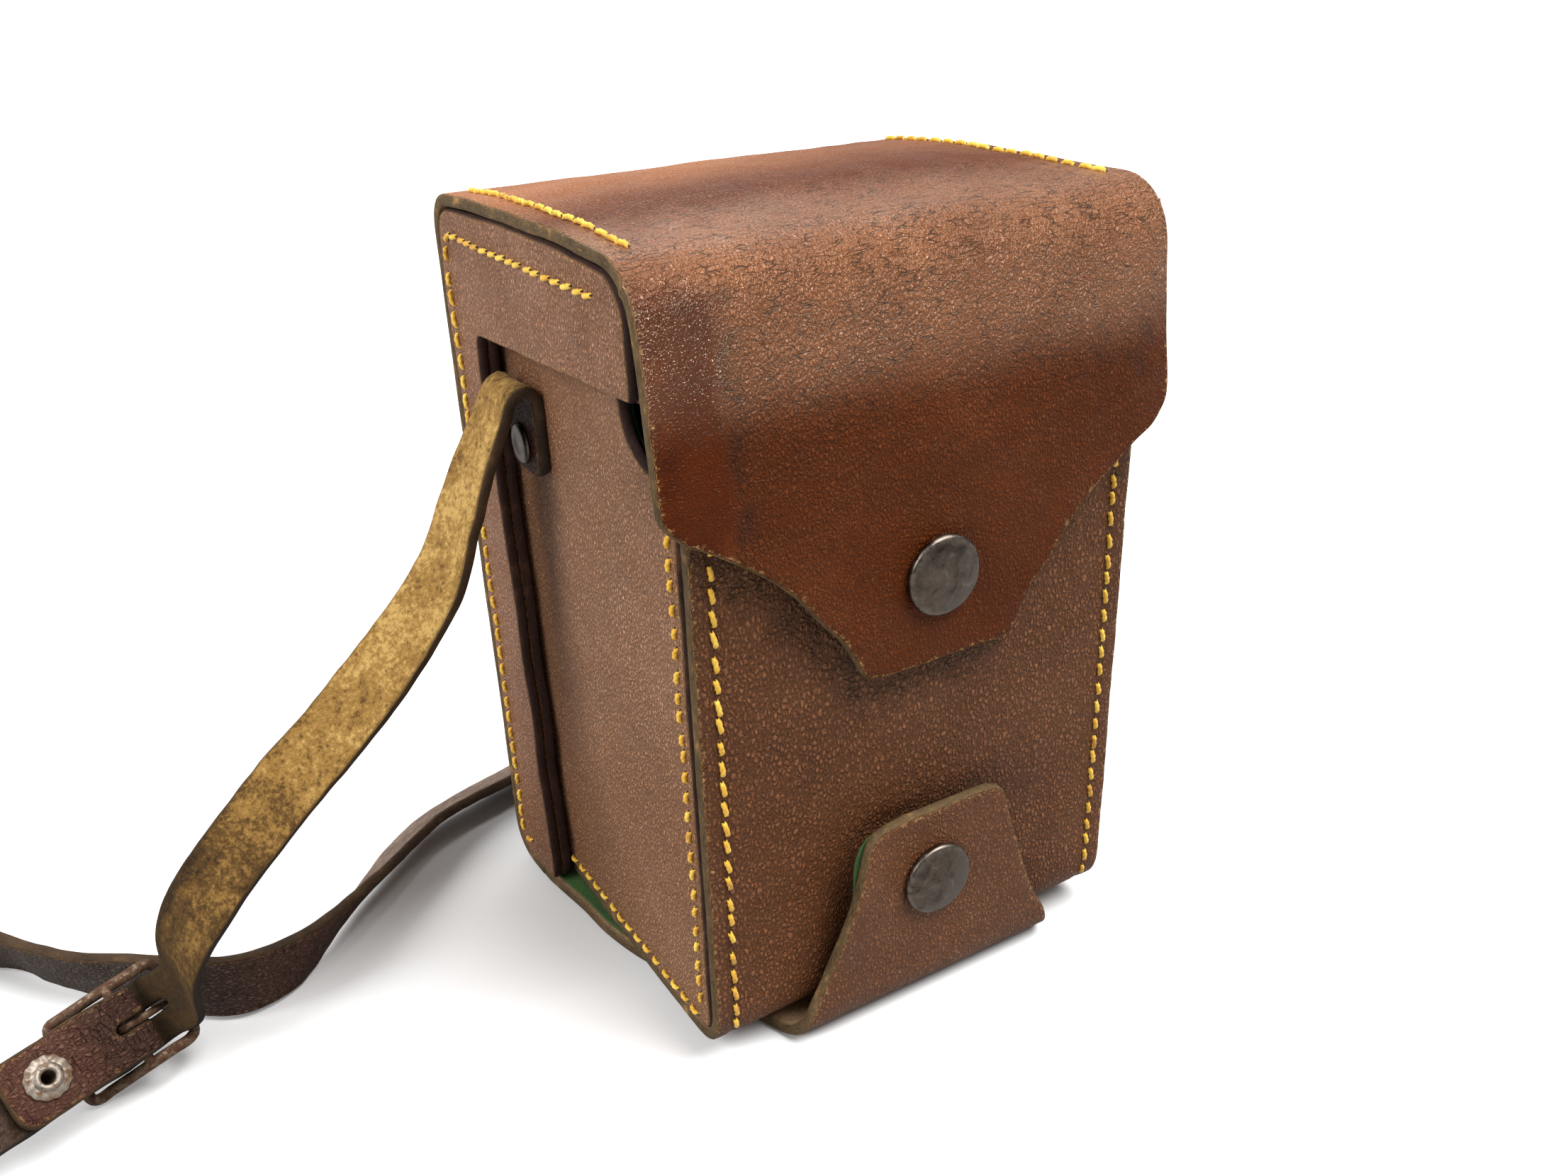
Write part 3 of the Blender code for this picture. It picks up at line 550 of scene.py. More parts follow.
def stitches(name, body, surface, lines, relief, length=3.45, slant=9, seed=1):
    """Rows of slanted twisted thread along lines in a panel's flat coordinates, with dark lenses of painted
    shade for the needle holes.
    """
    random = np.random.default_rng(seed)
    centres, runs = [], []
    for line in lines:
        line = np.array(line, float)
        along = lengths(line)
        at = np.arange(STITCH_PITCH / 2, along[-1], STITCH_PITCH)
        at = at + random.uniform(-0.12, 0.12, len(at)) * STITCH_PITCH
        centres.append(read_at(at, along, line))
        runs.append(unit(read_at(at + 0.2, along, line) - read_at(at - 0.2, along, line)))
    centres, runs = np.vstack(centres), np.vstack(runs)
    count = len(centres)
    turn = np.radians(slant + random.normal(0, 3.0, count))
    runs = np.stack([
        runs[:, 0] * np.cos(turn) - runs[:, 1] * np.sin(turn),
        runs[:, 0] * np.sin(turn) + runs[:, 1] * np.cos(turn),
    ], 1)
    thread_length = length * random.uniform(0.88, 1.08, count)
    steps, sides = 12, 10
    places, faces, parts = [], [], []
    share = np.linspace(-1, 1, steps + 1)
    lift = THREAD_RADIUS * (0.85 - 1.9 * np.abs(share) ** 3.5)
    size = THREAD_RADIUS * (1.06 - 0.55 * np.abs(share) ** 6)
    around = np.arange(sides) / sides * 2 * math.pi
    for i in range(count):
        line = centres[i] + np.outer(share * thread_length[i] / 2, runs[i])
        spots, normals = surface.at(line[:, 0], line[:, 1])
        spots = spots + normals * (relief(line[:, 0], line[:, 1]) + lift)[:, None]
        run = unit(np.gradient(spots, axis=0))
        side = unit(np.cross(run, normals))
        first = len(places)
        for k in range(steps + 1):
            ply = size[k] * (1 + THREAD_PLY * np.cos(2 * (around + share[k] * THREAD_TWIST + i)))
            ring = np.outer(np.cos(around) * ply, side[k]) + np.outer(np.sin(around) * ply, normals[k])
            places.extend(spots[k] + ring)
        for k in range(steps):
            for j in range(sides):
                a, b = first + k * sides + j, first + k * sides + (j + 1) % sides
                faces.append((a, b, b + sides, a + sides))
        faces.append(tuple(range(first, first + sides))[::-1])
        faces.append(tuple(range(first + steps * sides, first + (steps + 1) * sides)))
        parts += [0] * (steps * sides + 2)
        for end in (0, steps):
            add_hole_shade(places, faces, parts, spots[end] - normals[end] * lift[end], run[end], normals[end])
    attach(mesh_object(name, places, faces, [THREAD, NEEDLE_HOLE_SHADE], parts), body)


def add_hole_shade(places, faces, parts, centre, run, normal):
    """A dark lens on the leather where a stitch goes in: painted shade standing in for the hole."""
    sides = 10
    along, across, rise, depth = 0.45, 0.30, 0.09, 0.12
    side = np.cross(run, normal)
    around = np.arange(sides) / sides * 2 * math.pi
    ring = np.outer(np.cos(around) * along, run) + np.outer(np.sin(around) * across, side)
    first = len(places)
    places.extend(centre + ring + normal * 0.02)
    places.append(centre + normal * rise)
    places.append(centre - normal * depth)
    for j in range(sides):
        a, b = first + j, first + (j + 1) % sides
        faces.append((a, b, first + sides))
        faces.append((b, a, first + sides + 1))
        parts += [1, 1]


def turned(name, profile, centre, axis, finish, steps=72, wobble=None):
    """A turned part. The profile is (radius, height) along the axis and ends on it, or on itself."""
    profile = np.array(profile, float)
    closed = profile[0][0] > 0
    axis = unit(np.array(axis, float))
    first = unit(np.cross(axis, [0.3, 0.2, 1.0] if abs(axis[2]) < 0.9 else [1.0, 0, 0]))
    second = np.cross(axis, first)
    places, rings = [], []
    for radius, height in profile:
        if radius == 0:
            rings.append([len(places)] * steps)
            places.append(centre + axis * height)
            continue
        rings.append(list(range(len(places), len(places) + steps)))
        for k in range(steps):
            angle = 2 * math.pi * k / steps
            size, rise = wobble(radius, height, angle) if wobble else (radius, height)
            outward = first * math.cos(angle) + second * math.sin(angle)
            places.append(centre + axis * rise + outward * size)
    if closed:
        rings.append(rings[0])
    faces = []
    for low, high in zip(rings, rings[1:]):
        for k in range(steps):
            face = (low[k], low[(k + 1) % steps], high[(k + 1) % steps], high[k])
            face = tuple(dict.fromkeys(face))
            if len(face) > 2:
                faces.append(face)
    obj = mesh_object(name, places, faces, [finish])
    obj.data.set_sharp_from_angle(angle=math.radians(50))
    return obj


def tube(name, centres, finish, radius, closed=False, flatten=None):
    """A wire along a line. Flatten gives its size across a fixed direction: (direction, share)."""
    centres = np.array(centres, float)
    if closed:
        run = unit(np.roll(centres, -1, axis=0) - np.roll(centres, 1, axis=0))
    else:
        run = unit(np.gradient(centres, axis=0))
    radius = np.broadcast_to(radius, len(centres))
    flat_way, flat_share = flatten if flatten else (np.array([0.31, 0.2, 0.93]), 1.0)
    sides = 16
    places, faces = [], []
    for spot, way, size in zip(centres, run, radius):
        first = unit(flat_way - way * (flat_way @ way))
        second = np.cross(way, first)
        for k in range(sides):
            angle = 2 * math.pi * k / sides
            places.append(spot + (first * math.cos(angle) * flat_share + second * math.sin(angle)) * size)
    count = len(centres)
    for i in range(count if closed else count - 1):
        here, there = i * sides, (i + 1) % count * sides
        for k in range(sides):
            faces.append((here + k, here + (k + 1) % sides, there + (k + 1) % sides, there + k))
    if not closed:
        faces.append(tuple(range(sides))[::-1])
        faces.append(tuple((count - 1) * sides + k for k in range(sides)))
    return mesh_object(name, places, faces, [finish])


# ---------------------------------------------------------------- finishes


class Value:
    """A node's output, which can be added, subtracted, multiplied and divided."""

    def __init__(self, make, socket):
        self.make = make
        self.socket = socket

    def __add__(self, other):
        return self.make.maths("ADD", self, other)

    def __sub__(self, other):
        return self.make.maths("SUBTRACT", self, other)

    def __rsub__(self, other):
        return self.make.maths("SUBTRACT", other, self)

    def __mul__(self, other):
        return self.make.maths("MULTIPLY", self, other)

    def __truediv__(self, other):
        return self.make.maths("DIVIDE", self, other)


class Finish:
    """A node material, with short calls for the nodes that the finishes share."""

    def __init__(self, name):
        self.material = bpy.data.materials.new(name)
        self.material.use_nodes = True
        self.tree = self.material.node_tree
        self.shader = self.tree.nodes["Principled BSDF"]

    def feed(self, socket, value):
        if isinstance(value, Value):
            self.tree.links.new(value.socket, socket)
        elif isinstance(value, tuple) and len(value) == 3 and socket.type == "RGBA":
            socket.default_value = (*value, 1)
        else:
            socket.default_value = value

    def add(self, kind, inputs, output=0, **settings):
        node = self.tree.nodes.new("ShaderNode" + kind)
        for name, value in settings.items():
            setattr(node, name, value)
        for name, value in inputs.items():
            self.feed(node.inputs[name], value)
        return Value(self, node.outputs[output])

    def value(self, name):
        """A mesh's stored value, or 0 where it has none of this name."""
        return self.add("Attribute", {}, "Fac", attribute_name=name)

    def place(self, stretch=(1, 1, 1)):
        """Flat coordinates on a panel, in millimetres."""
        grain = self.add("Attribute", {}, "Vector", attribute_name="grain")
        return self.add("Mapping", {"Vector": grain, "Scale": tuple(1 / s for s in stretch)})

    def solid_place(self):
        """An object's own coordinates, in millimetres."""
        own = self.add("TexCoord", {}, "Object")
        return self.add("Mapping", {"Vector": own, "Scale": (1 / MM, 1 / MM, 1 / MM)})

    def noise(self, place, size, detail=3.0, roughness=0.55, distortion=0.0):
        return self.add("TexNoise", {
            "Vector": place, "Scale": 1 / size, "Detail": detail,
            "Roughness": roughness, "Distortion": distortion,
        })

    def cells(self, place, size, feature="DISTANCE_TO_EDGE"):
        return self.add("TexVoronoi", {"Vector": place, "Scale": 1 / size}, "Distance", feature=feature)

    def bent(self, place, size, amount):
        """The coordinates pushed about by a noise, so that cells and lines wander."""
        push = self.add("TexNoise", {"Vector": place, "Scale": 1 / size, "Detail": 2.0}, "Color")
        centred = self.add("VectorMath", {0: push, 1: (0.5, 0.5, 0.5)}, operation="SUBTRACT")
        scaled = self.add("VectorMath", {0: centred, "Scale": amount}, operation="SCALE")
        return self.add("VectorMath", {0: place, 1: scaled}, operation="ADD")

    def span(self, value, low, high, start=0.0, end=1.0):
        """A smooth step from start to end as the value goes from low to high."""
        inputs = {"Value": value, "From Min": low, "From Max": high, "To Min": start, "To Max": end}
        return self.add("MapRange", inputs, interpolation_type="SMOOTHSTEP")

    def maths(self, operation, a, b, clamp=False):
        return self.add("Math", {0: a, 1: b}, operation=operation, use_clamp=clamp)

    def ramp(self, value, stops):
        """A colour along stops of (position, colour)."""
        colour = stops[0][1]
        for (start, _), (end, after) in zip(stops, stops[1:]):
            colour = self.mix(self.span(value, start, end), colour, after)
        return colour

    def mix(self, share, a, b):
        return self.add("MixRGB", {"Fac": share, "Color1": a, "Color2": b})

    def bump(self, height, distance, strength=1.0, under=None):
        """Height is in units of the distance, which is in millimetres."""
        inputs = {"Height": height, "Distance": distance * MM, "Strength": strength}
        if under is not None:
            inputs["Normal"] = under
        return self.add("Bump", inputs, "Normal")

    def finish(self, colour, roughness, normal, **more):
        inputs = {"Base_Color": colour, "Roughness": roughness, "Normal": normal, **more}
        for name, value in inputs.items():
            self.feed(self.shader.inputs[name.replace("_", " ")], value)
        return self.material


def leather(name, deep, middle, light, pebble, rough, pores, grain_shade_and_highlight, relief=0.38,
            faded_and_lit_colour=(0.62, 0.240, 0.090), worn=((0.20, 0.095, 0.032), (0.60, 0.35, 0.14)), least_gloss=0.15):
    """Grain leather: pebbles with painted shade in their valleys and painted highlights on their tops, creases
    with painted shade, burnished patches, pores, a worn edge, and a lighter colour that is partly faded
    leather and partly painted light.
    """
    make = Finish(name)
    place = make.place()
    stretched = make.place((0.8, 1.3, 1))
    names = ("polish", "crease", "dark", "fade_and_painted_light", "edge", "gloss")
    polish, crease_mask, dark, fade_and_painted_light, edge, gloss = (make.value(name) for name in names)
    painted_shade_colour = tuple(c * 0.3 for c in deep)

    pebbles = make.span(make.cells(make.bent(stretched, 2.2, 0.9), pebble), 0.02, 0.34)
    fine_pebbles = make.span(make.cells(make.bent(stretched, 1.1, 0.5), pebble * 0.5), 0.0, 0.35)
    valleys = 1.0 - pebbles
    wandering = make.bent(make.place((3.4, 1.0, 3.4)), 1.2, 1.0)
    crease_lines = make.span(make.cells(wandering, 1.15), 0.0, 0.06, 1.0, 0.0)
    creases = crease_lines * make.span(make.noise(place, 3.5, 4, 0.7), 0.44, 0.60) * crease_mask
    pores_left = make.span(make.noise(place, 2.6, 1), 0.42, 0.56)
    pits = make.span(make.cells(place, 1.25, "F1"), 0.09, 0.19, 1.0, 0.0) * pores_left
    wear_width = make.span(make.noise(place, 1.3, 5, 0.75), 0.42, 0.75, 0.32, 2.2)
    wear = make.span(edge / wear_width, 0.55, 1.0, 1.0, 0.0)

    tone = make.noise(place, 30, 3) + make.noise(place, 3.2, 4) * 0.35
    colour = make.ramp(tone, [(0.42, deep), (0.62, middle), (0.86, light)])
    # A lighter colour: partly faded leather, partly painted light (a painted highlight on the lid and bend, a
    # painted reflection of the floor on the strap).
    colour = make.mix(fade_and_painted_light * 0.9, colour, faded_and_lit_colour)
    # Painted shade and highlights on the grain: darker between light specks and in the valleys, lighter on the
    # pebble tops.
    speckle = make.span(make.noise(stretched, pebble * 0.55, 3, 0.75), 0.40, 0.62)
    painted_grain_share = make.span(polish, 0.0, 1.0, grain_shade_and_highlight, 0.0)
    colour = make.mix((1.0 - speckle) * painted_grain_share, colour, painted_shade_colour)
    colour = make.mix(speckle * pebbles * painted_grain_share, colour, tuple(c * 1.2 + 0.012 for c in light))
    colour = make.mix(valleys * painted_grain_share, colour, painted_shade_colour)
    # Painted shade in the crease lines.
    colour = make.mix(creases * 0.85, colour, painted_shade_colour)
    burnished = make.ramp(make.noise(place, 9, 4), [
        (0.3, (0.050, 0.007, 0.0005)), (0.55, (0.085, 0.014, 0.001)), (0.8, (0.15, 0.034, 0.003)),
    ])
    colour = make.mix(polish, colour, burnished)
    colour = make.mix(dark * 0.85, colour, (0.018, 0.010, 0.008))
    colour = make.mix(pits * pores, colour, (0.022, 0.008, 0.005))
    wear_tone = make.ramp(make.noise(place, 0.7, 3), [(0.35, worn[0]), (0.65, worn[1])])
    colour = make.mix(wear * 0.7, colour, wear_tone)

    strength = make.span(make.noise(place, 16, 2), 0.3, 0.75, 0.55, 1.0)
    height = pebbles * strength * make.span(polish, 0.0, 1.0, 1.0, 0.2)
    height = height + fine_pebbles * 0.3 + make.noise(place, 0.35, 2) * 0.18 - creases * 1.8 - pits * 0.6
    height = height + make.noise(make.place((3.2, 1.1, 3.2)), 1.3, 4, 0.6) * crease_mask
    normal = make.bump(height, relief, 1.0, make.bump(make.noise(place, 5.5, 2), 0.45, 0.7))

    shine = make.span(make.noise(place, 7, 4), 0.3, 0.7, -0.05, 0.08)
    shine = shine + make.span(polish, 0.0, 1.0, rough, rough * 0.7) - gloss * 0.14 + valleys * 0.15
    shine = make.maths("ADD", shine, wear * 0.2, clamp=True)
    level = make.span(gloss, 0.0, 1.0, least_gloss, 1.0)
    return make.finish(colour, shine, normal, Specular_IOR_Level=level, Specular_Tint=(1.0, 0.76, 0.56, 1.0))


def cut_edge(name, deep, light):
    """The burnished cut edge of leather: long fibres, grey dirt and tan specks."""
    make = Finish(name)
    fibres = make.noise(make.place((0.5, 0.5, 3)), 1.0, 4, 0.7)
    specks = make.span(make.noise(make.place(), 1.5, 3, 0.7), 0.55, 0.72)
    tone = make.noise(make.place((0.8, 0.8, 9)), 6, 4)
    colour = make.ramp(tone, [(0.3, deep), (0.55, tuple(c * 1.7 for c in deep)), (0.8, light)])
    colour = make.mix(specks, colour, light)
    colour = make.mix(make.value("dark"), colour, (0.015, 0.011, 0.009))
    normal = make.bump(fibres, 0.25, 0.9)
    return make.finish(colour, make.span(fibres, 0.3, 0.7, 0.55, 0.85), normal, Specular_IOR_Level=0.2)


def suede(name, shadow, middle, light):
    """The flesh side of leather: a short nap with rubbed patches and dark stains."""
    make = Finish(name)
    dirt = (0.024, 0.012, 0.005)
    place = make.place()
    dark = make.value("dark")
    patches = make.noise(make.place((1, 1.5, 1)), 7.0, 6, 0.72, 0.3)
    tone = patches * 0.45 + make.noise(place, 1.1, 5, 0.8) * 0.55 - dark * 0.20
    colour = make.ramp(tone, [(0.24, dirt), (0.35, shadow), (0.45, middle), (0.57, light)])
    specks = make.span(make.cells(make.bent(place, 1.5, 1.2), 2.3, "F1"), 0.10, 0.22, 0.5, 0.0)
    edge_dirt = make.span(make.value("edge"), 0.2, 1.0, 0.35, 0.0)
    for share in (specks, edge_dirt, make.span(dark, 0.5, 1.1, 0.0, 0.85)):
        colour = make.mix(share, colour, dirt)
    height = make.noise(place, 0.42, 4, 0.7) + make.noise(place, 1.4, 3) * 0.8
    return make.finish(
        colour, 0.9, make.bump(height, 0.26), Sheen_Weight=0.12, Sheen_Roughness=0.5,
        Sheen_Tint=(1.0, 0.8, 0.5), Specular_IOR_Level=0.15,
    )


def felt(name):
    """Green felt: matted fibres in a fine tangle."""
    make = Finish(name)
    place = make.place()
    fibres = make.noise(make.bent(place, 0.9, 1.2), 0.55, 5, 0.75)
    tone = make.noise(place, 14, 3) * 0.5 + fibres * 0.5
    colour = make.ramp(tone, [
        (0.36, (0.005, 0.018, 0.003)), (0.5, (0.011, 0.040, 0.006)), (0.66, (0.028, 0.085, 0.010)),
    ])
    return make.finish(
        colour, 0.95, make.bump(fibres, 0.35), Sheen_Weight=0.3, Sheen_Roughness=0.6,
        Sheen_Tint=(0.45, 0.9, 0.30),
    )


def worn_metal(name, dark, light, rust, rust_share, rough):
    """Plated metal rubbed bright in places, with fine scratches and a film of tarnish."""
    make = Finish(name)
    place = make.solid_place()
    clouds = make.noise(place, 2.6, 6, 0.68, 0.6)
    along = make.add("Mapping", {"Vector": place, "Scale": (5.0, 0.5, 0.6), "Rotation": (0.4, 0.7, 0.9)})
    scratches = make.span(make.noise(along, 1.0, 4, 0.8), 0.56, 0.66)
    tarnish = make.span(make.noise(place, 1.5, 6, 0.75), 0.62 - rust_share * 0.3, 0.74 - rust_share * 0.2)
    rubbed = make.value("worn") * make.span(clouds, 0.3, 0.6)
    colour = make.ramp(clouds, [(0.34, dark), (0.52, tuple(c * 1.8 for c in dark)), (0.72, light)])
    colour = make.mix(scratches * 0.4, colour, light)
    colour = make.mix(tarnish, colour, rust)
    colour = make.mix(rubbed, colour, light)
    shine = make.span(clouds, 0.3, 0.7, rough - 0.08, rough + 0.14) + tarnish * 0.35
    height = make.noise(place, 0.45, 4, 0.7) * 0.6 - scratches * 0.3
    metal = make.span(tarnish, 0.0, 1.0, 1.0, 0.25)
    return make.finish(colour, shine, make.bump(height, 0.02, 0.6), Metallic=metal)


def thread(name):
    """Waxed golden thread, dirtied in its hollows."""
    make = Finish(name)
    place = make.solid_place()
    tone = make.noise(place, 5.5, 3) * 0.7 + make.noise(place, 0.5, 3) * 0.35
    colour = make.ramp(tone, [
        (0.36, (0.42, 0.18, 0.010)), (0.48, (0.80, 0.43, 0.022)), (0.66, (0.95, 0.65, 0.075)),
    ])
    return make.finish(colour, 0.55, make.bump(make.noise(place, 0.22, 3), 0.12, 0.8), Sheen_Weight=0.2)


def needle_hole_shade(name):
    """Painted shade for the inside of a stitch's hole."""
    make = Finish(name)
    place = make.solid_place()
    tone = make.noise(place, 0.6, 2)
    colour = make.ramp(tone, [(0.4, (0.006, 0.003, 0.002)), (0.7, (0.03, 0.012, 0.008))])
    return make.finish(colour, 0.8, make.bump(make.noise(place, 0.3, 2), 0.1, 0.6))


# Leathers: deep, middle and light colour, then pebble size in mm, roughness, pores and the strength of the
# painted shade and highlights on the grain
COVER = leather(
    "cover_leather", (0.095, 0.018, 0.002), (0.138, 0.029, 0.004), (0.190, 0.048, 0.011),
    0.85, 0.34, 0.3, 0.32,
)
TRAY = leather(
    "tray_leather", (0.160, 0.052, 0.018), (0.235, 0.083, 0.030), (0.310, 0.120, 0.048),
    1.05, 0.36, 0.3, 0.62, least_gloss=0.3,
)
SIDE = leather(
    "side_leather", (0.320, 0.130, 0.056), (0.470, 0.215, 0.104), (0.590, 0.300, 0.165),
    0.75, 0.38, 0.6, 0.68, least_gloss=0.5,
)
GUSSET = leather(
    "gusset_leather", (0.350, 0.140, 0.064), (0.470, 0.205, 0.104), (0.590, 0.285, 0.160),
    0.75, 0.40, 0.8, 0.66, least_gloss=0.5,
)
TAB = leather(
    "tab_leather", (0.150, 0.048, 0.016), (0.220, 0.078, 0.028), (0.300, 0.115, 0.046),
    0.95, 0.34, 0.3, 0.50, least_gloss=0.4,
)
# The strap leather's lighter colour is grey: a painted reflection of the white floor.
STRAP_GRAIN = leather(
    "strap_leather", (0.056, 0.025, 0.018), (0.115, 0.050, 0.037), (0.180, 0.090, 0.066),
    0.95, 0.40, 0.6, 0.5, relief=0.3, faded_and_lit_colour=(0.150, 0.130, 0.110),
    worn=((0.10, 0.055, 0.025), (0.30, 0.17, 0.07)),
)
CUT = cut_edge("cut_edge", (0.062, 0.040, 0.018), (0.42, 0.23, 0.080))
DARK_CUT = cut_edge("dark_cut_edge", (0.028, 0.013, 0.010), (0.13, 0.060, 0.035))
STRAP_CUT = cut_edge("strap_cut_edge", (0.040, 0.022, 0.010), (0.17, 0.095, 0.036))
FLESH = suede("flesh_side", (0.14, 0.075, 0.035), (0.24, 0.14, 0.07), (0.36, 0.23, 0.13))
STRAP_BACK = suede("strap_back", (0.085, 0.055, 0.045), (0.19, 0.130, 0.105), (0.29, 0.210, 0.175))
STRAP_SUEDE = suede("strap_suede", (0.11, 0.055, 0.014), (0.30, 0.165, 0.042), (0.56, 0.355, 0.115))
FELT_GREEN = felt("felt")
# Metals: dark and light colour, rust and its share, then roughness
GUNMETAL = worn_metal(
    "stud_metal", (0.058, 0.045, 0.036), (0.180, 0.152, 0.126), (0.040, 0.024, 0.016), 0.08, 0.33,
)
NICKEL = worn_metal(
    "buckle_metal", (0.115, 0.080, 0.050), (0.36, 0.30, 0.22), (0.070, 0.026, 0.010), 0.85, 0.45,
)
EYELET = worn_metal(
    "eyelet_metal", (0.17, 0.145, 0.12), (0.36, 0.32, 0.28), (0.14, 0.070, 0.030), 0.55, 0.5,
)
THREAD = thread("thread")
NEEDLE_HOLE_SHADE = needle_hole_shade("needle_hole_shade")


# ---------------------------------------------------------------- rear cover and flap


def shell_profile():
    """Outer face of flap, bend, lid and back as (y, z): up from the tongue, over and down the back."""
    back_top = TOP - 1.6
    return [
        (FACE, TONGUE),
        (FACE, 99.6),
        (FACE + 0.6, 109.6),
        (FACE + 2.0, 121.6),
        *arc((LIFT[1], OPEN[2]), BEND_RADIUS, 180, 90),
        (-12.0, TOP),
        (8.0, TOP - 0.2),
        *arc((BACK - BACK_RADIUS, back_top - BACK_RADIUS), BACK_RADIUS, 90, 0),
        (BACK, HINGE_TOP),
    ]


SHELL = Bent(shell_profile(), 2.0)
HINGE_BEND = Bent([
    (BACK, HINGE_TOP), *arc((BACK - HINGE_RADIUS, HINGE_RADIUS), HINGE_RADIUS, 0, -90), (STRIP_REAR, 0),
], 0.8)
MIDDLE_OF_BEND = arc((LIFT[1], OPEN[2]), BEND_RADIUS, 180, 90, 2)[1]
SEAM = SHELL.mark(*MIDDLE_OF_BEND)


def face_v(z):
    """v on the flap's face at a height."""
    return SHELL.mark(FACE, z)


def lid_v(y):
    """v on the lid at a depth."""
    return SHELL.mark(y, TOP)


def shell_relief(u, v):
    """The lid's dome, the flap's swell and its dimple round the snap, and the leather's unevenness."""
    across = 1 - (u / HALF_WIDTH) ** 2
    lid = smoothstep(v, lid_v(-36), lid_v(-8)) * smoothstep(v, lid_v(38), lid_v(14))
    swell = smoothstep(v, face_v(101), face_v(116)) * smoothstep(v, SEAM + 4, face_v(124))
    back = smoothstep(v, SHELL.mark(BACK, 132), SHELL.mark(BACK, 110))
    back = back * smoothstep(v, SHELL.end() - 3, SHELL.end() - 30)
    dimple = dent(u, v, (0, face_v(UPPER_SNAP)), 8.5)
    tongue = smoothstep(v, face_v(100), face_v(TONGUE))
    height = 2.1 * lid * across + 0.9 * swell * across + 0.8 * back * across - 0.95 * dimple
    height -= 0.5 * smoothstep(np.abs(u), HALF_WIDTH - 5, HALF_WIDTH) * smoothstep(v, SEAM + 8, SEAM - 6)
    height += 0.35 * tongue * smoothstep(np.abs(u), 4, 16)
    return height + uneven(u, v, 3, (0.20, 26), (0.07, 8))


def shell_masks(u, v):
    """Burnished patch at the flap's left edge with its dark border, creases over the bend, scuffs, a lighter
    lid that is partly faded and partly a painted highlight, and a painted highlight over the bend.
    """
    down = smoothstep(v, face_v(99), face_v(106)) * smoothstep(v, SEAM + 3, SEAM - 5)
    border = -HALF_WIDTH + 12.0 + uneven(u, v, 11, (1.3, 14), (0.5, 4))
    polish = smoothstep(u, border + 1.6, border - 1.6) * down
    line = np.exp(-(((u - border - 1.2) / 1.7) ** 2)) * down
    line = line * smoothstep(ripple(u, v, 9, 13), -0.7, 0.5)
    scuff = dent(u, v, (HALF_WIDTH - 6, face_v(123)), 5.5)
    scuff = scuff + 0.7 * dent(u, v, (HALF_WIDTH - 9, face_v(116)), 4.5)
    scuff = scuff * smoothstep(ripple(u, v, 6, 14), -0.5, 0.7)
    crease = smoothstep(v, face_v(112), face_v(124)) * smoothstep(v, lid_v(-6), lid_v(-26))
    crease = crease * (0.55 + 0.45 * smoothstep(ripple(u, v, 22, 15), -1.0, 0.8)) * (1 - polish)
    lower = 0.35 * smoothstep(v, face_v(108), face_v(98)) + 0.16 * smoothstep(v, face_v(126), face_v(106))
    # The lid is lighter towards its left and back: partly faded leather, partly a painted highlight of the
    # light above.
    fade_and_painted_light = smoothstep(v, lid_v(-16), lid_v(20)) * (0.45 + 0.5 * smoothstep(u, 30, -10))
    bend = smoothstep(v, face_v(117), face_v(134)) * smoothstep(v, lid_v(-8), lid_v(-34))
    fade_and_painted_light = fade_and_painted_light * smoothstep(v, SHELL.mark(BACK, 110), SHELL.mark(BACK, 130))
    # A painted highlight in a band over the bend.
    fade_and_painted_light = fade_and_painted_light + bend * (0.34 + 0.16 * smoothstep(ripple(u, v, 18, 17), -1.0, 1.0)) * (1 - 0.7 * polish)
    gloss = smoothstep(v, face_v(116), face_v(132)) * smoothstep(v, lid_v(-10), lid_v(-34))
    return {
        "fade_and_painted_light": fade_and_painted_light,
        "gloss": gloss * (0.75 + 0.25 * smoothstep(ripple(u, v, 15, 16), -0.8, 0.8)),
        "polish": np.clip(polish + lower * 0.4, 0, 1),
        "crease": crease,
        "dark": np.clip(0.55 * line + 0.45 * scuff, 0, 1),
    }


def mirrored(side):
    """A closed outline from its right side, which runs from one end to the other."""
    left = side[::-1] * np.array([-1, 1])
    return np.vstack([side, left])


def flap_outline(margin=0.0):
    """The shield: a tongue with rounded corners that sweeps out to the full width below the bend."""
    shield = [
        (0.0, 11.5), (0.3, 13.4), (1.4, 15.5), (8.5, 19.4), (13.0, 23.2), (19.5, 28.6), (24.8, 34.5),
        (30.2, 42.0), (32.6, 46.2), (35.2, 49.0), (38.0, HALF_WIDTH), (46.0, HALF_WIDTH),
    ]
    side = curve_through([(half - margin, face_v(TONGUE + rise)) for rise, half in shield], 5)
    side[:, 1] += margin * smoothstep(side[:, 1], face_v(TONGUE + 4), face_v(TONGUE))
    return mirrored(np.vstack([side, [(side[-1][0], SEAM)]]))


def at_seam(u, v):
    """Where flap and lid go on in each other."""
    return np.abs(v - SEAM) < 0.2


def at_cover_ends(u, v):
    return at_seam(u, v) | (np.abs(v - SHELL.end()) < 0.2)


# Each blend: the two bodies, and the points in metres where it starts and ends
FLAP_BEND = ("flap_bend", "flap", (0, 0, OPEN[2] * MM + 0.004), (0, 0, OPEN[2] * MM - 0.006))
LID_BEND = ("rear_cover", "flap_bend", (0, (LIFT[1] + 3) * MM, 0), (0, (LIFT[1] - 5) * MM, 0))


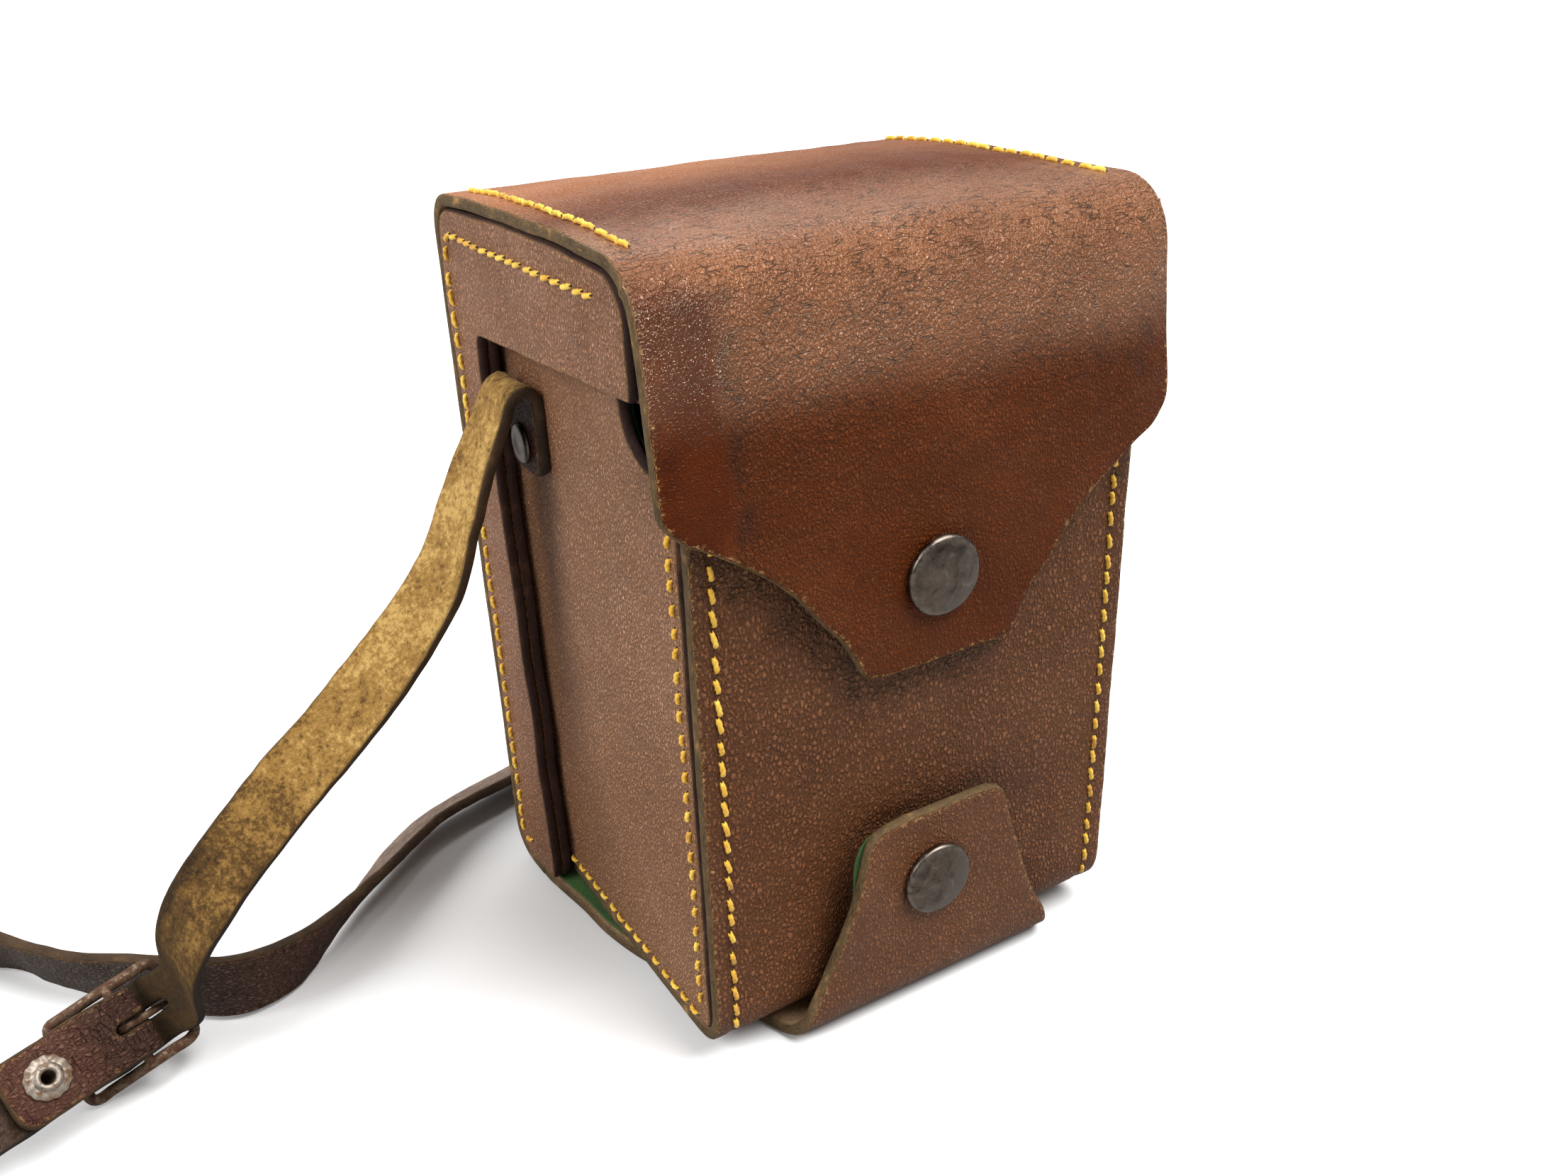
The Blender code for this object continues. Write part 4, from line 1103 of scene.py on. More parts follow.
def build_flap():
    flap = panel(
        "front_flap_leather", SHELL, flap_outline(), LEATHER, [COVER, CUT, FLESH], spacing=1.1,
        relief=shell_relief, masks=shell_masks, plain=at_seam,
    )
    settle(flap, FLAP_BEND, "cover_leather", "front_flap")
    outline = flap_outline(1.8)
    outline[:, 0] = np.clip(outline[:, 0], 5 - HALF_WIDTH, HALF_WIDTH - 5)
    lining = felt_panel(
        "front_flap_felt", Inside(SHELL, LEATHER + GAP), outline, 2.5,
        holes=[hole(0, face_v(UPPER_SNAP), FELT_SOCKET_HOLE)], relief=shell_relief, plain=at_seam,
    )
    settle(lining, FLAP_BEND, "felt", "flap_lining")


def build_cover():
    end = SHELL.end()
    cover = panel(
        "cover_leather_back_and_top", SHELL, box_outline(HALF_WIDTH, SEAM, end), LEATHER,
        [COVER, CUT, FLESH], spacing=1.2, relief=shell_relief, masks=shell_masks, plain=at_cover_ends,
    )
    settle(cover, LID_BEND, "cover_leather", "back_top_panel", "flap_bend")
    half = HALF_WIDTH - 2 * GUSSET_LEATHER - 2 * GAP
    lining = felt_panel(
        "cover_felt", Inside(SHELL, LEATHER + GAP), box_outline(half, SEAM, end), 3,
        relief=shell_relief, plain=at_seam,
    )
    settle(lining, LID_BEND, "felt", "back_top_lining", "flap_bend_lining")
    across = HALF_WIDTH - COVER_SEAM_INSET
    lid = [lid_v(33), lid_v(LIFT[1]) + 1]
    back = [SHELL.mark(BACK, 134), end - 1]
    sewn = ((-across, lid), (-across, back), (across, lid[::-1]), (across, back))
    rows = [[(u, v) for v in ends] for u, ends in sewn]
    stitches("cover_stitches", "rear_cover", SHELL, rows, shell_relief, seed=21)


def build_hinge():
    """The leather that turns from the back into the base strip, where the rear cover swings."""
    end = HINGE_BEND.end()
    strip_half = strip_half_width(STRIP_REAR)
    side = [(HALF_WIDTH, 0), (HALF_WIDTH, end - 14), (strip_half, end)]
    hinge = panel(
        "hinge_leather", HINGE_BEND, [(-HALF_WIDTH, 0), *side, (-strip_half, end), (-HALF_WIDTH, end - 14)],
        LEATHER, [COVER, CUT, FLESH], spacing=1.2,
        relief=lambda u, v: shell_relief(u, v + SHELL.end()) * smoothstep(v, 8, 0),
        masks=lambda u, v: {"crease": 0.4 * dent(u * 0, v, (0, 12), 6), "dark": np.full_like(v, 0.15)},
        plain=lambda u, v: (v < 0.2) | (v > end - 0.2),
    )
    fold = ("rear_cover", "tray", (0, BACK * MM, 0.012), (0, (BACK - 12) * MM, 0.002))
    settle(hinge, fold, "cover_leather")


def gusset_outline(drop):
    """An inverted L inside the cover: an arm along the lid, and an arm down the back."""
    between = np.linspace(SHELL.mark(LIFT[1] + 2, TOP), SHELL.end(), 60)
    places, normals = SHELL.at(np.zeros(60), between)
    inner = (places - normals * (LEATHER + GAP))[:, 1:]
    radius = 7.5
    corner = arc((GUSSET_FRONT + radius, inner[0][1] - 0.3 - radius), radius, 180, 90, 8)
    return rounded([
        (GUSSET_FRONT, GUSSET_ARM_FRONT - drop, 1.2),
        *[(y, z, 0) for y, z in corner],
        *[(y, z, 0) for y, z in inner[4:-1]],
        (inner[-1][0], TRAY_FLOOR, 8.5),
        (GUSSET_BACK_ARM - 5.5, TRAY_FLOOR, 2.5),
        (GUSSET_BACK_ARM, GUSSET_ARM_REAR - drop, 2.0),
    ][::-1])


def gusset_relief(u, v):
    return uneven(u, v, 31, (0.16, 18), (0.05, 6))


def gusset_masks(u, v):
    low = smoothstep(v, 30, 6) * 0.15
    front = smoothstep(u, GUSSET_FRONT + 4, GUSSET_FRONT) * 0.15
    return {"crease": 0.25 * smoothstep(v, 122, 130), "dark": low + front}


def build_gussets():
    foot = TRAY_FLOOR + 4
    rear = BACK - LEATHER - GAP - 3.6
    top = TOP - LEATHER - GAP - COVER_SEAM_INSET
    row = rounded([
        (rear - 5, foot, 0), (rear, foot, 6), (rear, top - 1.5, 4), (GUSSET_FRONT + 7.5, top - 0.6, 0),
        (rear - 5, foot, 0),
    ])[:-1]
    for side, sign in SIDES:
        outer = Plate(sign * HALF_WIDTH, sign)
        inner = Inside(outer, GUSSET_LEATHER + GAP)
        for node, surface, drop, finish, spacing, slot_name in (
            (f"{side}_gusset", outer, 0, GUSSET, 1.3, "cover_leather"),
            (f"{side}_gusset_backing", inner, 0.8, TRAY, 2.2, "tray_leather"),
        ):
            gusset = panel(
                f"{node}_leather", surface, gusset_outline(drop), GUSSET_LEATHER, [finish, DARK_CUT, FLESH],
                spacing=spacing, relief=gusset_relief, masks=gusset_masks,
            )
            settle(gusset, "rear_cover", slot_name, node)
        stitches(
            f"{side}_gusset_stitches", "rear_cover", outer, [row], gusset_relief,
            slant=9 * sign, seed=33 + sign,
        )


# ---------------------------------------------------------------- tray


def tray_profile():
    """Outer face of base and front: forward along the base, then up the front."""
    corner = arc((TRAY_FRONT + TRAY_RADIUS, TRAY_FLOOR + TRAY_RADIUS), TRAY_RADIUS, 270, 180)
    return [(TRAY_REAR, TRAY_FLOOR), *corner, (TRAY_FRONT, TRAY_TOP)]


TRAY_SHELL = Bent(tray_profile(), 1.2)


def front_v(z):
    return TRAY_SHELL.mark(TRAY_FRONT, z)


def front_groove(u):
    """1 along the rows of stitches on the front, where the thread pulls the leather in."""
    return np.exp(-(((np.abs(u) - TRAY_HALF + TRAY_SEAM_INSET) / 0.8) ** 2))


def tray_relief(u, v):
    """The front swells between its two snaps, and is drawn in round the lower stud."""
    across = 1 - (u / TRAY_HALF) ** 2
    open_front = smoothstep(v, front_v(30), front_v(52)) * smoothstep(v, front_v(80), front_v(64))
    drawn = dent(u, v, (-4, front_v(LOWER_SNAP + 6)), 24)
    under_tab = smoothstep(v, front_v(6), front_v(12)) * smoothstep(v, front_v(48), front_v(38))
    under_tab = under_tab * smoothstep(np.abs(u), 30, 14)
    height = 1.2 * open_front * across - 1.1 * drawn - 0.35 * under_tab - 0.28 * front_groove(u)
    pull = smoothstep(v, front_v(4), front_v(14)) * smoothstep(np.abs(u), 20, 36) * 0.35
    return height + pull + uneven(u, v, 41, (0.13, 20), (0.06, 7))


def below_flap(u, v):
    """The distance down the front from the flap's edge."""
    edge = flap_outline()
    edge = edge[(edge[:, 0] > 0) & (edge[:, 0] < HALF_WIDTH - 1)]
    edge = edge[np.argsort(edge[:, 0])]
    rise = np.interp(np.abs(u), edge[:, 0], edge[:, 1]) - face_v(TONGUE)
    return front_v(TONGUE) + rise - v


def tray_masks(u, v):
    shaded = 0.15 * smoothstep(np.abs(u), TRAY_HALF - 6, TRAY_HALF) + 0.3 * front_groove(u)
    drop = below_flap(u, v) + 1.5 * ripple(u, v, 9, 43)
    shaded = shaded + 0.38 * smoothstep(drop, 10, 1)
    crease = 0.55 * smoothstep(v, front_v(52), front_v(40)) * smoothstep(np.abs(u), 34, 16)
    crease = np.clip(crease + 0.9 * smoothstep(drop, 15, 3), 0, 1)
    return {"polish": 0.15 * dent(u, v, (-20, front_v(30)), 22), "crease": crease, "dark": shaded}


def side_outline(margin):
    """A side panel, with a round scoop at its top front corner."""
    front = SIDE_LOW[1] + margin
    bottom = SIDE_LOW[2] + margin
    rear = SIDE_HIGH[1] - margin
    top = SIDE_HIGH[2] - margin
    scoop_y = front + SCOOP_RADIUS * 0.75
    scoop = arc((scoop_y, SIDE_SHOULDER + SCOOP_RADIUS), SCOOP_RADIUS, 270, 360, 14)
    return rounded([
        (rear, bottom, 0.5),
        (front, bottom, TRAY_RADIUS - LEATHER),
        (front, SIDE_SHOULDER, 0.5),
        *[(y, z, 0) for y, z in scoop],
        (scoop_y + SCOOP_RADIUS, top, 1),
        (rear, top, 2),
    ])


def side_relief(u, v):
    """The side is slack: it sinks a little behind the gusset's arm and swells lower down."""
    lower = smoothstep(v, 14, 40) * smoothstep(v, 100, 70)
    lower = lower * smoothstep(u, SIDE_LOW[1] + 2, SIDE_LOW[1] + 25)
    lower = lower * smoothstep(u, GUSSET_BACK_ARM, GUSSET_BACK_ARM - 20)
    return 0.7 * lower + uneven(u, v, 51, (0.14, 22), (0.05, 7))


def side_masks(u, v):
    # Painted shade where the side runs in under the gusset's back arm, and round the scoop where it opens into
    # the case; darker towards the bottom.
    gap_shade = 0.4 * smoothstep(u, GUSSET_BACK_ARM - 7, GUSSET_BACK_ARM - 1)
    scoop = 0.5 * dent(u, v, (SIDE_LOW[1] + 8, SIDE_SHOULDER + 3), 7)
    base = 0.15 * smoothstep(v, 14, 6)
    return {"polish": 0.2 * smoothstep(v, 100, 116), "dark": gap_shade + scoop + base}


def build_tray():
    end = TRAY_SHELL.end()
    snaps = [front_v(z) for z in (UPPER_SNAP, LOWER_SNAP)]
    front = panel(
        "tray_leather_front_and_base", TRAY_SHELL, box_outline(TRAY_HALF, 0, end, 1, 3), LEATHER,
        [TRAY, CUT, FLESH], spacing=1.2, holes=[hole(0, v, STUD_HOLE, 18) for v in snaps],
        relief=tray_relief, masks=tray_masks,
    )
    settle(front, "tray", "tray_leather", "front_base_panel")
    half = TRAY_HALF - LEATHER - FELT - 2 * GAP
    lining = felt_panel(
        "tray_felt_front_and_base", Inside(TRAY_SHELL, LEATHER + GAP),
        box_outline(half, 0.5, end - 2.5, 1, 3), 3,
        holes=[hole(0, v, FELT_STUD_HOLE) for v in snaps], relief=tray_relief,
    )
    settle(lining, "tray", "felt", "front_base_lining")
    rows = [
        [(sign * (TRAY_HALF - TRAY_SEAM_INSET), front_v(z)) for z in (TRAY_TOP - 2, TRAY_FLOOR + 4)]
        for sign in (-1, 1)
    ]
    stitches("front_stitches", "tray", TRAY_SHELL, rows, tray_relief, slant=10, seed=61)


def build_sides():
    front = SIDE_LOW[1] + 2.4
    bottom = SIDE_LOW[2] + 2.2
    rows = [
        [(front, SIDE_SHOULDER - 3), (front, bottom + 2)],
        [(front + 1.5, bottom), (GUSSET_BACK_ARM - 1, bottom)],
    ]
    for side, sign in SIDES:
        outer = Plate(sign * TRAY_HALF, sign)
        side_panel = panel(
            f"{side}_side_leather", outer, side_outline(0), LEATHER, [SIDE, DARK_CUT, FLESH], spacing=1.3,
            holes=[hole(FOLD[1], RIVET_HEIGHT, RIVET_HOLE, 18)], relief=side_relief, masks=side_masks,
        )
        settle(side_panel, "tray", "cover_leather", f"{side}_side_panel")
        lining = felt_panel(
            f"{side}_side_felt", Inside(outer, LEATHER + GAP), side_outline(FELT + 2 * GAP), 3,
            holes=[hole(FOLD[1], RIVET_HEIGHT, FELT_WASHER_HOLE)], relief=side_relief,
        )
        settle(lining, "tray", "felt", f"{side}_side_lining")
        stitches(
            f"{side}_side_stitches", "tray", outer, rows, side_relief,
            length=2.8, slant=-8 * sign, seed=63 + sign,
        )


# ---------------------------------------------------------------- base strip and tab


def strip_profile():
    """Outer face of the strip: forward under the base, round the turn and up the front."""
    turn = arc((FACE + STRIP_RADIUS, STRIP_RADIUS), STRIP_RADIUS, 270, 180)
    return [(BACK - LEATHER - GAP, 0.0), *turn, (FACE, TAB_HIGH[2])]


STRIP = Bent(strip_profile(), 1.2)


def tab_v(z):
    return STRIP.mark(FACE, z)


# Depth and half width of the strip under the case
UNDER = [(39.0, 49.9), (28.0, 49.6), (20.0, 48.6), (12.0, 47.4), (3.0, 46.6), (-6.0, 44.6), (-15.0, 41.6),
         (-23.0, 38.6), (-31.0, 35.2), (-39.0, 31.6)]


def strip_half_width(y):
    """The strip's half width under the case, at a depth."""
    return np.interp(-y, [-y for y, _ in UNDER], [half for _, half in UNDER])


def strip_outline(margin, start, end):
    """The strip is as wide as the case at the back, narrows under it and ends in a tongue."""
    up = [(7.4, 27.6), (12.8, 24.6), (19.4, 22.0), (26.4, 19.6), (33.6, 17.4), (38.8, 16.0), (41.2, 14.6),
          (TAB_HIGH[2] - 0.1, 11.0)]
    points = [(half - margin, STRIP.mark(y, 0)) for y, half in UNDER]
    points += [(half - margin, tab_v(z) - (margin if z > 38 else 0)) for z, half in up]
    side = curve_through(points, 5)
    side = side[(side[:, 1] > start) & (side[:, 1] < end)]
    return mirrored(np.vstack([[(side[0][0], start)], side]))


def strip_relief(u, v):
    """The tab stands off the front at its corners and is drawn in by its snap."""
    up = smoothstep(v, tab_v(12), tab_v(30))
    height = -0.75 * dent(u, v, (0, tab_v(LOWER_SNAP)), 8.0)
    height += 1.5 * up * smoothstep(-u, 5, 18) + 0.3 * up * smoothstep(u, 8, 20)
    return height + 0.12 * ripple(u, v, 18, 71) * smoothstep(v, tab_v(2), tab_v(12))


def strip_masks(u, v):
    return {
        "polish": 0.1 * smoothstep(v, tab_v(3), tab_v(12)),
        "crease": 0.35 * smoothstep(v, tab_v(20), tab_v(8)) * smoothstep(v, STRIP.mark(-36, 0), tab_v(3)),
        "dark": 0.12 * smoothstep(v, tab_v(6), STRIP.mark(-36, 0)),
    }


def build_strip():
    turn_y = -STRIP_RADIUS * 0.2 * MM
    fold = ("tray", "tab", (0, turn_y, (STRIP_RADIUS - 3.0) * MM), (0, turn_y, (STRIP_RADIUS + 5.0) * MM))
    rear = STRIP.mark(STRIP_REAR, 0)
    strip = panel(
        "base_strip_and_tab", STRIP, strip_outline(0, rear, STRIP.end()), LEATHER, [TAB, CUT, FLESH],
        spacing=1.3, relief=strip_relief, masks=strip_masks, plain=lambda u, v: v < rear + 0.2,
    )
    settle(strip, fold, "cover_leather", "base_strip", "base_tab")
    under = strip_outline(0.9, rear - 8, STRIP.mark(-30, 0))
    under_felt = felt_panel("base_strip_felt", Inside(STRIP, LEATHER + GAP), under, 3)
    settle(under_felt, "tray", "felt", "base_strip_lining")
    shown = strip_outline(1.7, tab_v(13), STRIP.end())
    corner = dent(shown[:, 0], shown[:, 1], (-15.5, tab_v(37)), 7)
    shown += np.stack([-2.3 * corner, 1.2 * corner], 1)
    tab_felt = felt_panel(
        "base_tab_felt", Inside(STRIP, LEATHER + GAP * 0.3), shown, 2,
        holes=[hole(0, tab_v(LOWER_SNAP), FELT_SOCKET_HOLE)], relief=strip_relief,
    )
    settle(tab_felt, "tab", "felt", "base_tab_lining")


# ---------------------------------------------------------------- snaps, studs and rivets


def build_snaps():
    cap = [
        (0, -0.9), (3.0, -0.9), (3.2, -0.4), (CAP_RADIUS - 0.5, -0.35), (CAP_RADIUS - 0.1, -0.1),
        (CAP_RADIUS, 0.35), (CAP_RADIUS - 0.05, 0.7), (CAP_RADIUS - 0.25, 1.02), (CAP_RADIUS - 0.6, 1.22),
        (CAP_RADIUS - 0.9, 1.26), (CAP_RADIUS * 0.78, 1.58), (CAP_RADIUS * 0.62, 1.95),
        (CAP_RADIUS * 0.44, 2.25), (CAP_RADIUS * 0.22, 2.44), (0, 2.5),
    ]
    for side, height, body, seed in (("upper", UPPER_SNAP, "flap", 5), ("lower", LOWER_SNAP, "tab", 6)):
        phases = np.random.default_rng(seed).uniform(0, 2 * math.pi, 3)

        def worn(radius, rise, angle, phases=phases):
            """Small knocks and a slight lean make no two caps alike."""
            knock = sum(math.sin((k + 2) * angle + phase) for k, phase in enumerate(phases))
            return radius * (1 + 0.002 * knock), rise + 0.03 * knock * radius / CAP_RADIUS

        centre = np.array([0, FACE, height])
        piece = turned(f"{side}_cap", cap, centre, (0, -1, 0), GUNMETAL, wobble=worn)
        places = np.array([v.co for v in piece.data.vertices]) / MM - centre
        rim = smoothstep(np.hypot(places[:, 0], places[:, 2]), CAP_RADIUS * 0.84, CAP_RADIUS * 0.95)
        add_values(piece, places, {"worn": rim * 0.9})
        settle(piece, body, "stud_metal", f"{side}_snap_cap")
    kept = ["left_rivet_washer", "right_rivet_washer"]
    for kind in ("snap_socket", "stud", "stud_collar"):
        kept += [f"upper_{kind}", f"lower_{kind}"]
    for node in kept:
        mesh = frame["nodes"][node].data
        mesh.materials.clear()
        mesh.materials.append(NICKEL if "washer" in node else GUNMETAL)


def build_rivets():
    radius = 3.8
    profile = [
        (0, -2.9), (1.25, -2.9), (1.25, 2.3), (radius - 0.2, 2.32), (radius, 2.55), (radius - 0.1, 2.85),
        (radius - 0.5, 3.1), (radius * 0.62, 3.2), (radius * 0.5, 3.0), (radius * 0.34, 2.86), (0, 2.84),
    ]
    for side, sign in SIDES:
        centre = np.array([sign * (TRAY_HALF + GAP), FOLD[1], RIVET_HEIGHT])
        rivet = turned(f"{side}_rivet", profile, centre, (sign, 0, 0), GUNMETAL)
        settle(rivet, "tray", "stud_metal", f"{side}_strap_rivet")


# ---------------------------------------------------------------- strap and buckle


def at_buckle(along, outward, across=0.0):
    """A point from the buckle's middle bar: along the strap, out of its face and across it."""
    return BAR + ALONG * along + OUTWARD * outward + ACROSS * across


def riveted_end(sign):
    """Centre line of a strap's end, from its foot up past the rivet and over the fold's top."""
    middle = TRAY_HALF + GAP + STRAP_THICKNESS / 2
    rise = [
        (middle, STRAP_END_BOTTOM), (middle, RIVET_HEIGHT), (middle, FOLD[2] - 3.6),
        (middle + 0.25, FOLD[2] - 1.6), (middle + 1.3, FOLD[2] - 0.1),
    ]
    return [(sign * x, FOLD[1], z) for x, z in rise]


# Centre line points of the left strap, with x to the left
LEFT_FALL = [
    (48.9, 14.5, 114.7), (50.9, 14.5, 113.2), (53.0, 14.5, 108.7), (57.2, 14.5, 101.0),
    (61.0, 14.5, 92.6), (66.5, 14.5, 81.0), (76.5, 14.5, 69.6), (87.7, 14.5, 59.0),
    (99.0, 14.5, 49.8), (108.0, 14.5, 41.4), (115.2, 14.5, 34.2), (120.4, 14.8, 27.6),
    (123.4, 14.8, 21.2),
]
# Along the strap and out of its face, from the middle bar
THREADING = [(-9.4, 4.8), (-6.6, 0.4), (-4.9, -4.0), (0.0, -5.9), (7.0, -4.8), (18.0, -4.6), (32.0, -4.6)]

# x, y, z and the lean of the strap's width from upright, in degrees
RIGHT_FALL = [
    (48.9, 14.5, 114.7, 0), (50.9, 14.5, 113.2, 0), (53.2, 15.0, 108.7, 0), (57.0, 18, 98.0, 0),
    (61.0, 24.5, 81.0, 0), (64.0, 36, 60.0, 10), (65.0, 51, 38.0, 20), (61.0, 66, 20.0, 30),
    (48.0, 76, 9.0, 35), (28.0, 78, 6.0, 48), (4.0, 76.5, 5.0, 58), (-20.0, 71, 4.8, 62),
    (-44.5, 62.5, 4.8, 62), (-66.0, 54.5, 5.2, 58), (-85.5, 37, 6.0, 44), (-99.0, 24.5, 6.4, 22),
    (-107.5, 20.0, 7.0, 5), (-116.5, 20.5, 7.2, -5), (-125.0, 26.5, 7.2, 0), (-132.5, 33.5, 7.2, 10),
    (-140.0, 40.0, 7.2, 18), (-146.5, 48.0, 7.2, 20), (-154.0, 58.0, 7.2, 20), (-169.0, 65.5, 7.2, 10),
    (-186.5, 58.0, 7.2, 0), (-195.0, 38.0, 7.6, -10), (-191.5, 14.5, 9.0, -25), (-180.0, -3.5, 11.0, -35),
]
MAIN = [(34.0, -1.3), (24.0, -1.3), (15.0, -1.3), (7.0, -1.9), (2.4, -2.7)]
CHAPE = [(3.0, 2.6), (7.0, 1.9), (10.0, 1.3), (16.0, 1.3), (22.5, 1.3)]
EYELET_ALONG = 15.5


def left_band():
    """From the rivet over the fold, down to the buckle, through it and on as a short tail."""
    end = riveted_end(-1)
    points = end + [(-x, y, z) for x, y, z in LEFT_FALL]
    count = len(points)
    points = [np.array(p) for p in points] + [at_buckle(s, n) for s, n in THREADING]
    steps = np.arange(len(points))
    first = len(end) + 1
    shares = np.stack([smoothstep(steps, first, first + 8), smoothstep(steps, count - 4, count - 1)], 1)
    line = curve_through(np.hstack([np.array(points), shares]))
    run = unit(np.gradient(line[:, :3], axis=0))
    turn, late = np.clip(line[:, 3:4], 0, 1), np.clip(line[:, 4:5], 0, 1)
    widths = np.array([0, 1, 0]) * (1 - turn) + ACROSS * turn
    widths = unit(widths - run * (widths * run).sum(1, keepdims=True))
    return Band(line[:, :3], widths * (1 - late) + ACROSS * late)


def right_band():
    """From the rivet over the fold, round behind the case, past the left strap and back to the bar."""
    end = riveted_end(1)
    points = [(*p, 0) for p in end] + RIGHT_FALL
    first = len(end) + 2
    to_buckle = len(points)
    points += [(*at_buckle(s, n), 0) for s, n in MAIN]
    steps = np.arange(len(points))
    shares = np.stack([smoothstep(steps, first, first + 7), smoothstep(steps, to_buckle - 4, to_buckle)], 1)
    line = curve_through(np.hstack([np.array(points, float), shares]))
    run = unit(np.gradient(line[:, :3], axis=0))
    sideways = unit(np.stack([-run[:, 1], run[:, 0], np.zeros(len(line))], 1))
    lean = np.radians(line[:, 3:4])
    on_edge = sideways * np.sin(lean) + np.array([0, 0, 1]) * np.cos(lean)
    turned_up = np.clip(line[:, 4:5], 0, 1)
    turned_flat = np.clip(line[:, 5:6], 0, 1)
    widths = np.array([0, 1, 0]) * (1 - turned_up) + on_edge * turned_up
    widths = widths * (1 - turned_flat) + ACROSS * turned_flat
    radius = WIRE + GAP + STRAP_THICKNESS / 2
    fold = [
        at_buckle(-radius * math.sin(a), -radius * math.cos(a)) for a in np.linspace(0, math.pi, 25)[1:]
    ]
    chape = list(curve_through([at_buckle(s, n) for s, n in CHAPE], 6))
    centres = np.vstack([line[:, :3], fold, chape])
    widths = np.vstack([widths, np.tile(ACROSS, (len(fold) + len(chape), 1))])
    # the grain side faces out at the rivet, so the width runs the other way from the left strap's
    return Band(centres, -widths)


def strap_outline(start, end, start_radius, end_radius, seed):
    """A strap's flat outline, a little uneven along its edges."""
    half = STRAP_WIDTH / 2
    v = np.arange(start + start_radius + 1, end - end_radius - 1, 2.0)
    right = half + uneven(v, v * 0, seed, (0.16, 17), (0.07, 5))
    left = half + uneven(v, v * 0, seed + 2, (0.16, 19), (0.07, 6))
    points = [(-half, start, start_radius), (half, start, start_radius)]
    points += [(x, y, 0) for x, y in zip(right, v)]
    points += [(half, end, end_radius), (-half, end, end_radius)]
    points += [(-x, y, 0) for x, y in zip(left[::-1], v[::-1])]
    return rounded(points)


def strap_relief(u, v):
    cup = -0.22 * (u / (STRAP_WIDTH / 2)) ** 2
    return cup + uneven(u, v, 81, (0.13, 15), (0.06, 5))


def slot(start, end):
    """A long hole with round ends, along a strap."""
    low = arc((0, start + SLOT_HALF), SLOT_HALF, 180, 360)
    return [*low, *arc((0, end - SLOT_HALF), SLOT_HALF, 0, 180)]


def strap_fold(sign):
    """The blend from tray to strap, across the fold of a strap's riveted end."""
    start, end = (sign * (TRAY_HALF + reach) * MM for reach in (2.0, 9.0))
    return "tray", "strap", (start, 0, 0), (end, 0, 0)


def build_left_strap():
    band = left_band()
    rivet_v = band.mark(np.array([-TRAY_HALF, FOLD[1], RIVET_HEIGHT]))
    bar_v = band.mark(at_buckle(-6.2, -1.2))
    buckle_v = band.mark(at_buckle(-9.4, 4.8))
    worn_from = band.mark(np.array([-66.5, 14.5, 81.0]))
    stained_from = band.mark(np.array([-99.0, 14.5, 49.8]))
    stain = [
        (0, 0.75), (rivet_v + 14, 0.20), (worn_from, 0.04), (stained_from, 0.32), (buckle_v - 34, 0.62),
        (buckle_v - 6, 0.78), (buckle_v, 1.1),
    ]

    def masks(u, v):
        """Light where the hand rubs it, stained by the buckle."""
        dark = np.interp(v, *zip(*stain)) + 0.08 * ripple(u, v, 12, 83)
        dark = dark + 0.3 * smoothstep(u, 3.5, 6.4) * smoothstep(v, worn_from, buckle_v)
        polish = 0.4 * smoothstep(v, rivet_v + 12, rivet_v)
        crease = 0.6 * dent(u * 0, v, (0, rivet_v + 12), 5)
        return {"dark": np.clip(dark, 0, 1), "polish": polish, "crease": crease}

    strap = panel(
        "left_strap_leather", band, strap_outline(0, band.end(), 4, 1, 91), STRAP_THICKNESS,
        [STRAP_GRAIN, STRAP_CUT, STRAP_SUEDE], spacing=0.9,
        holes=[hole(0, rivet_v, STRAP_RIVET_HOLE, 18), slot(bar_v - 3.6, bar_v + 3.6)],
        relief=strap_relief, masks=masks,
    )
    settle(strap, strap_fold(-1), "strap_leather", "left_strap", "left_strap_end")


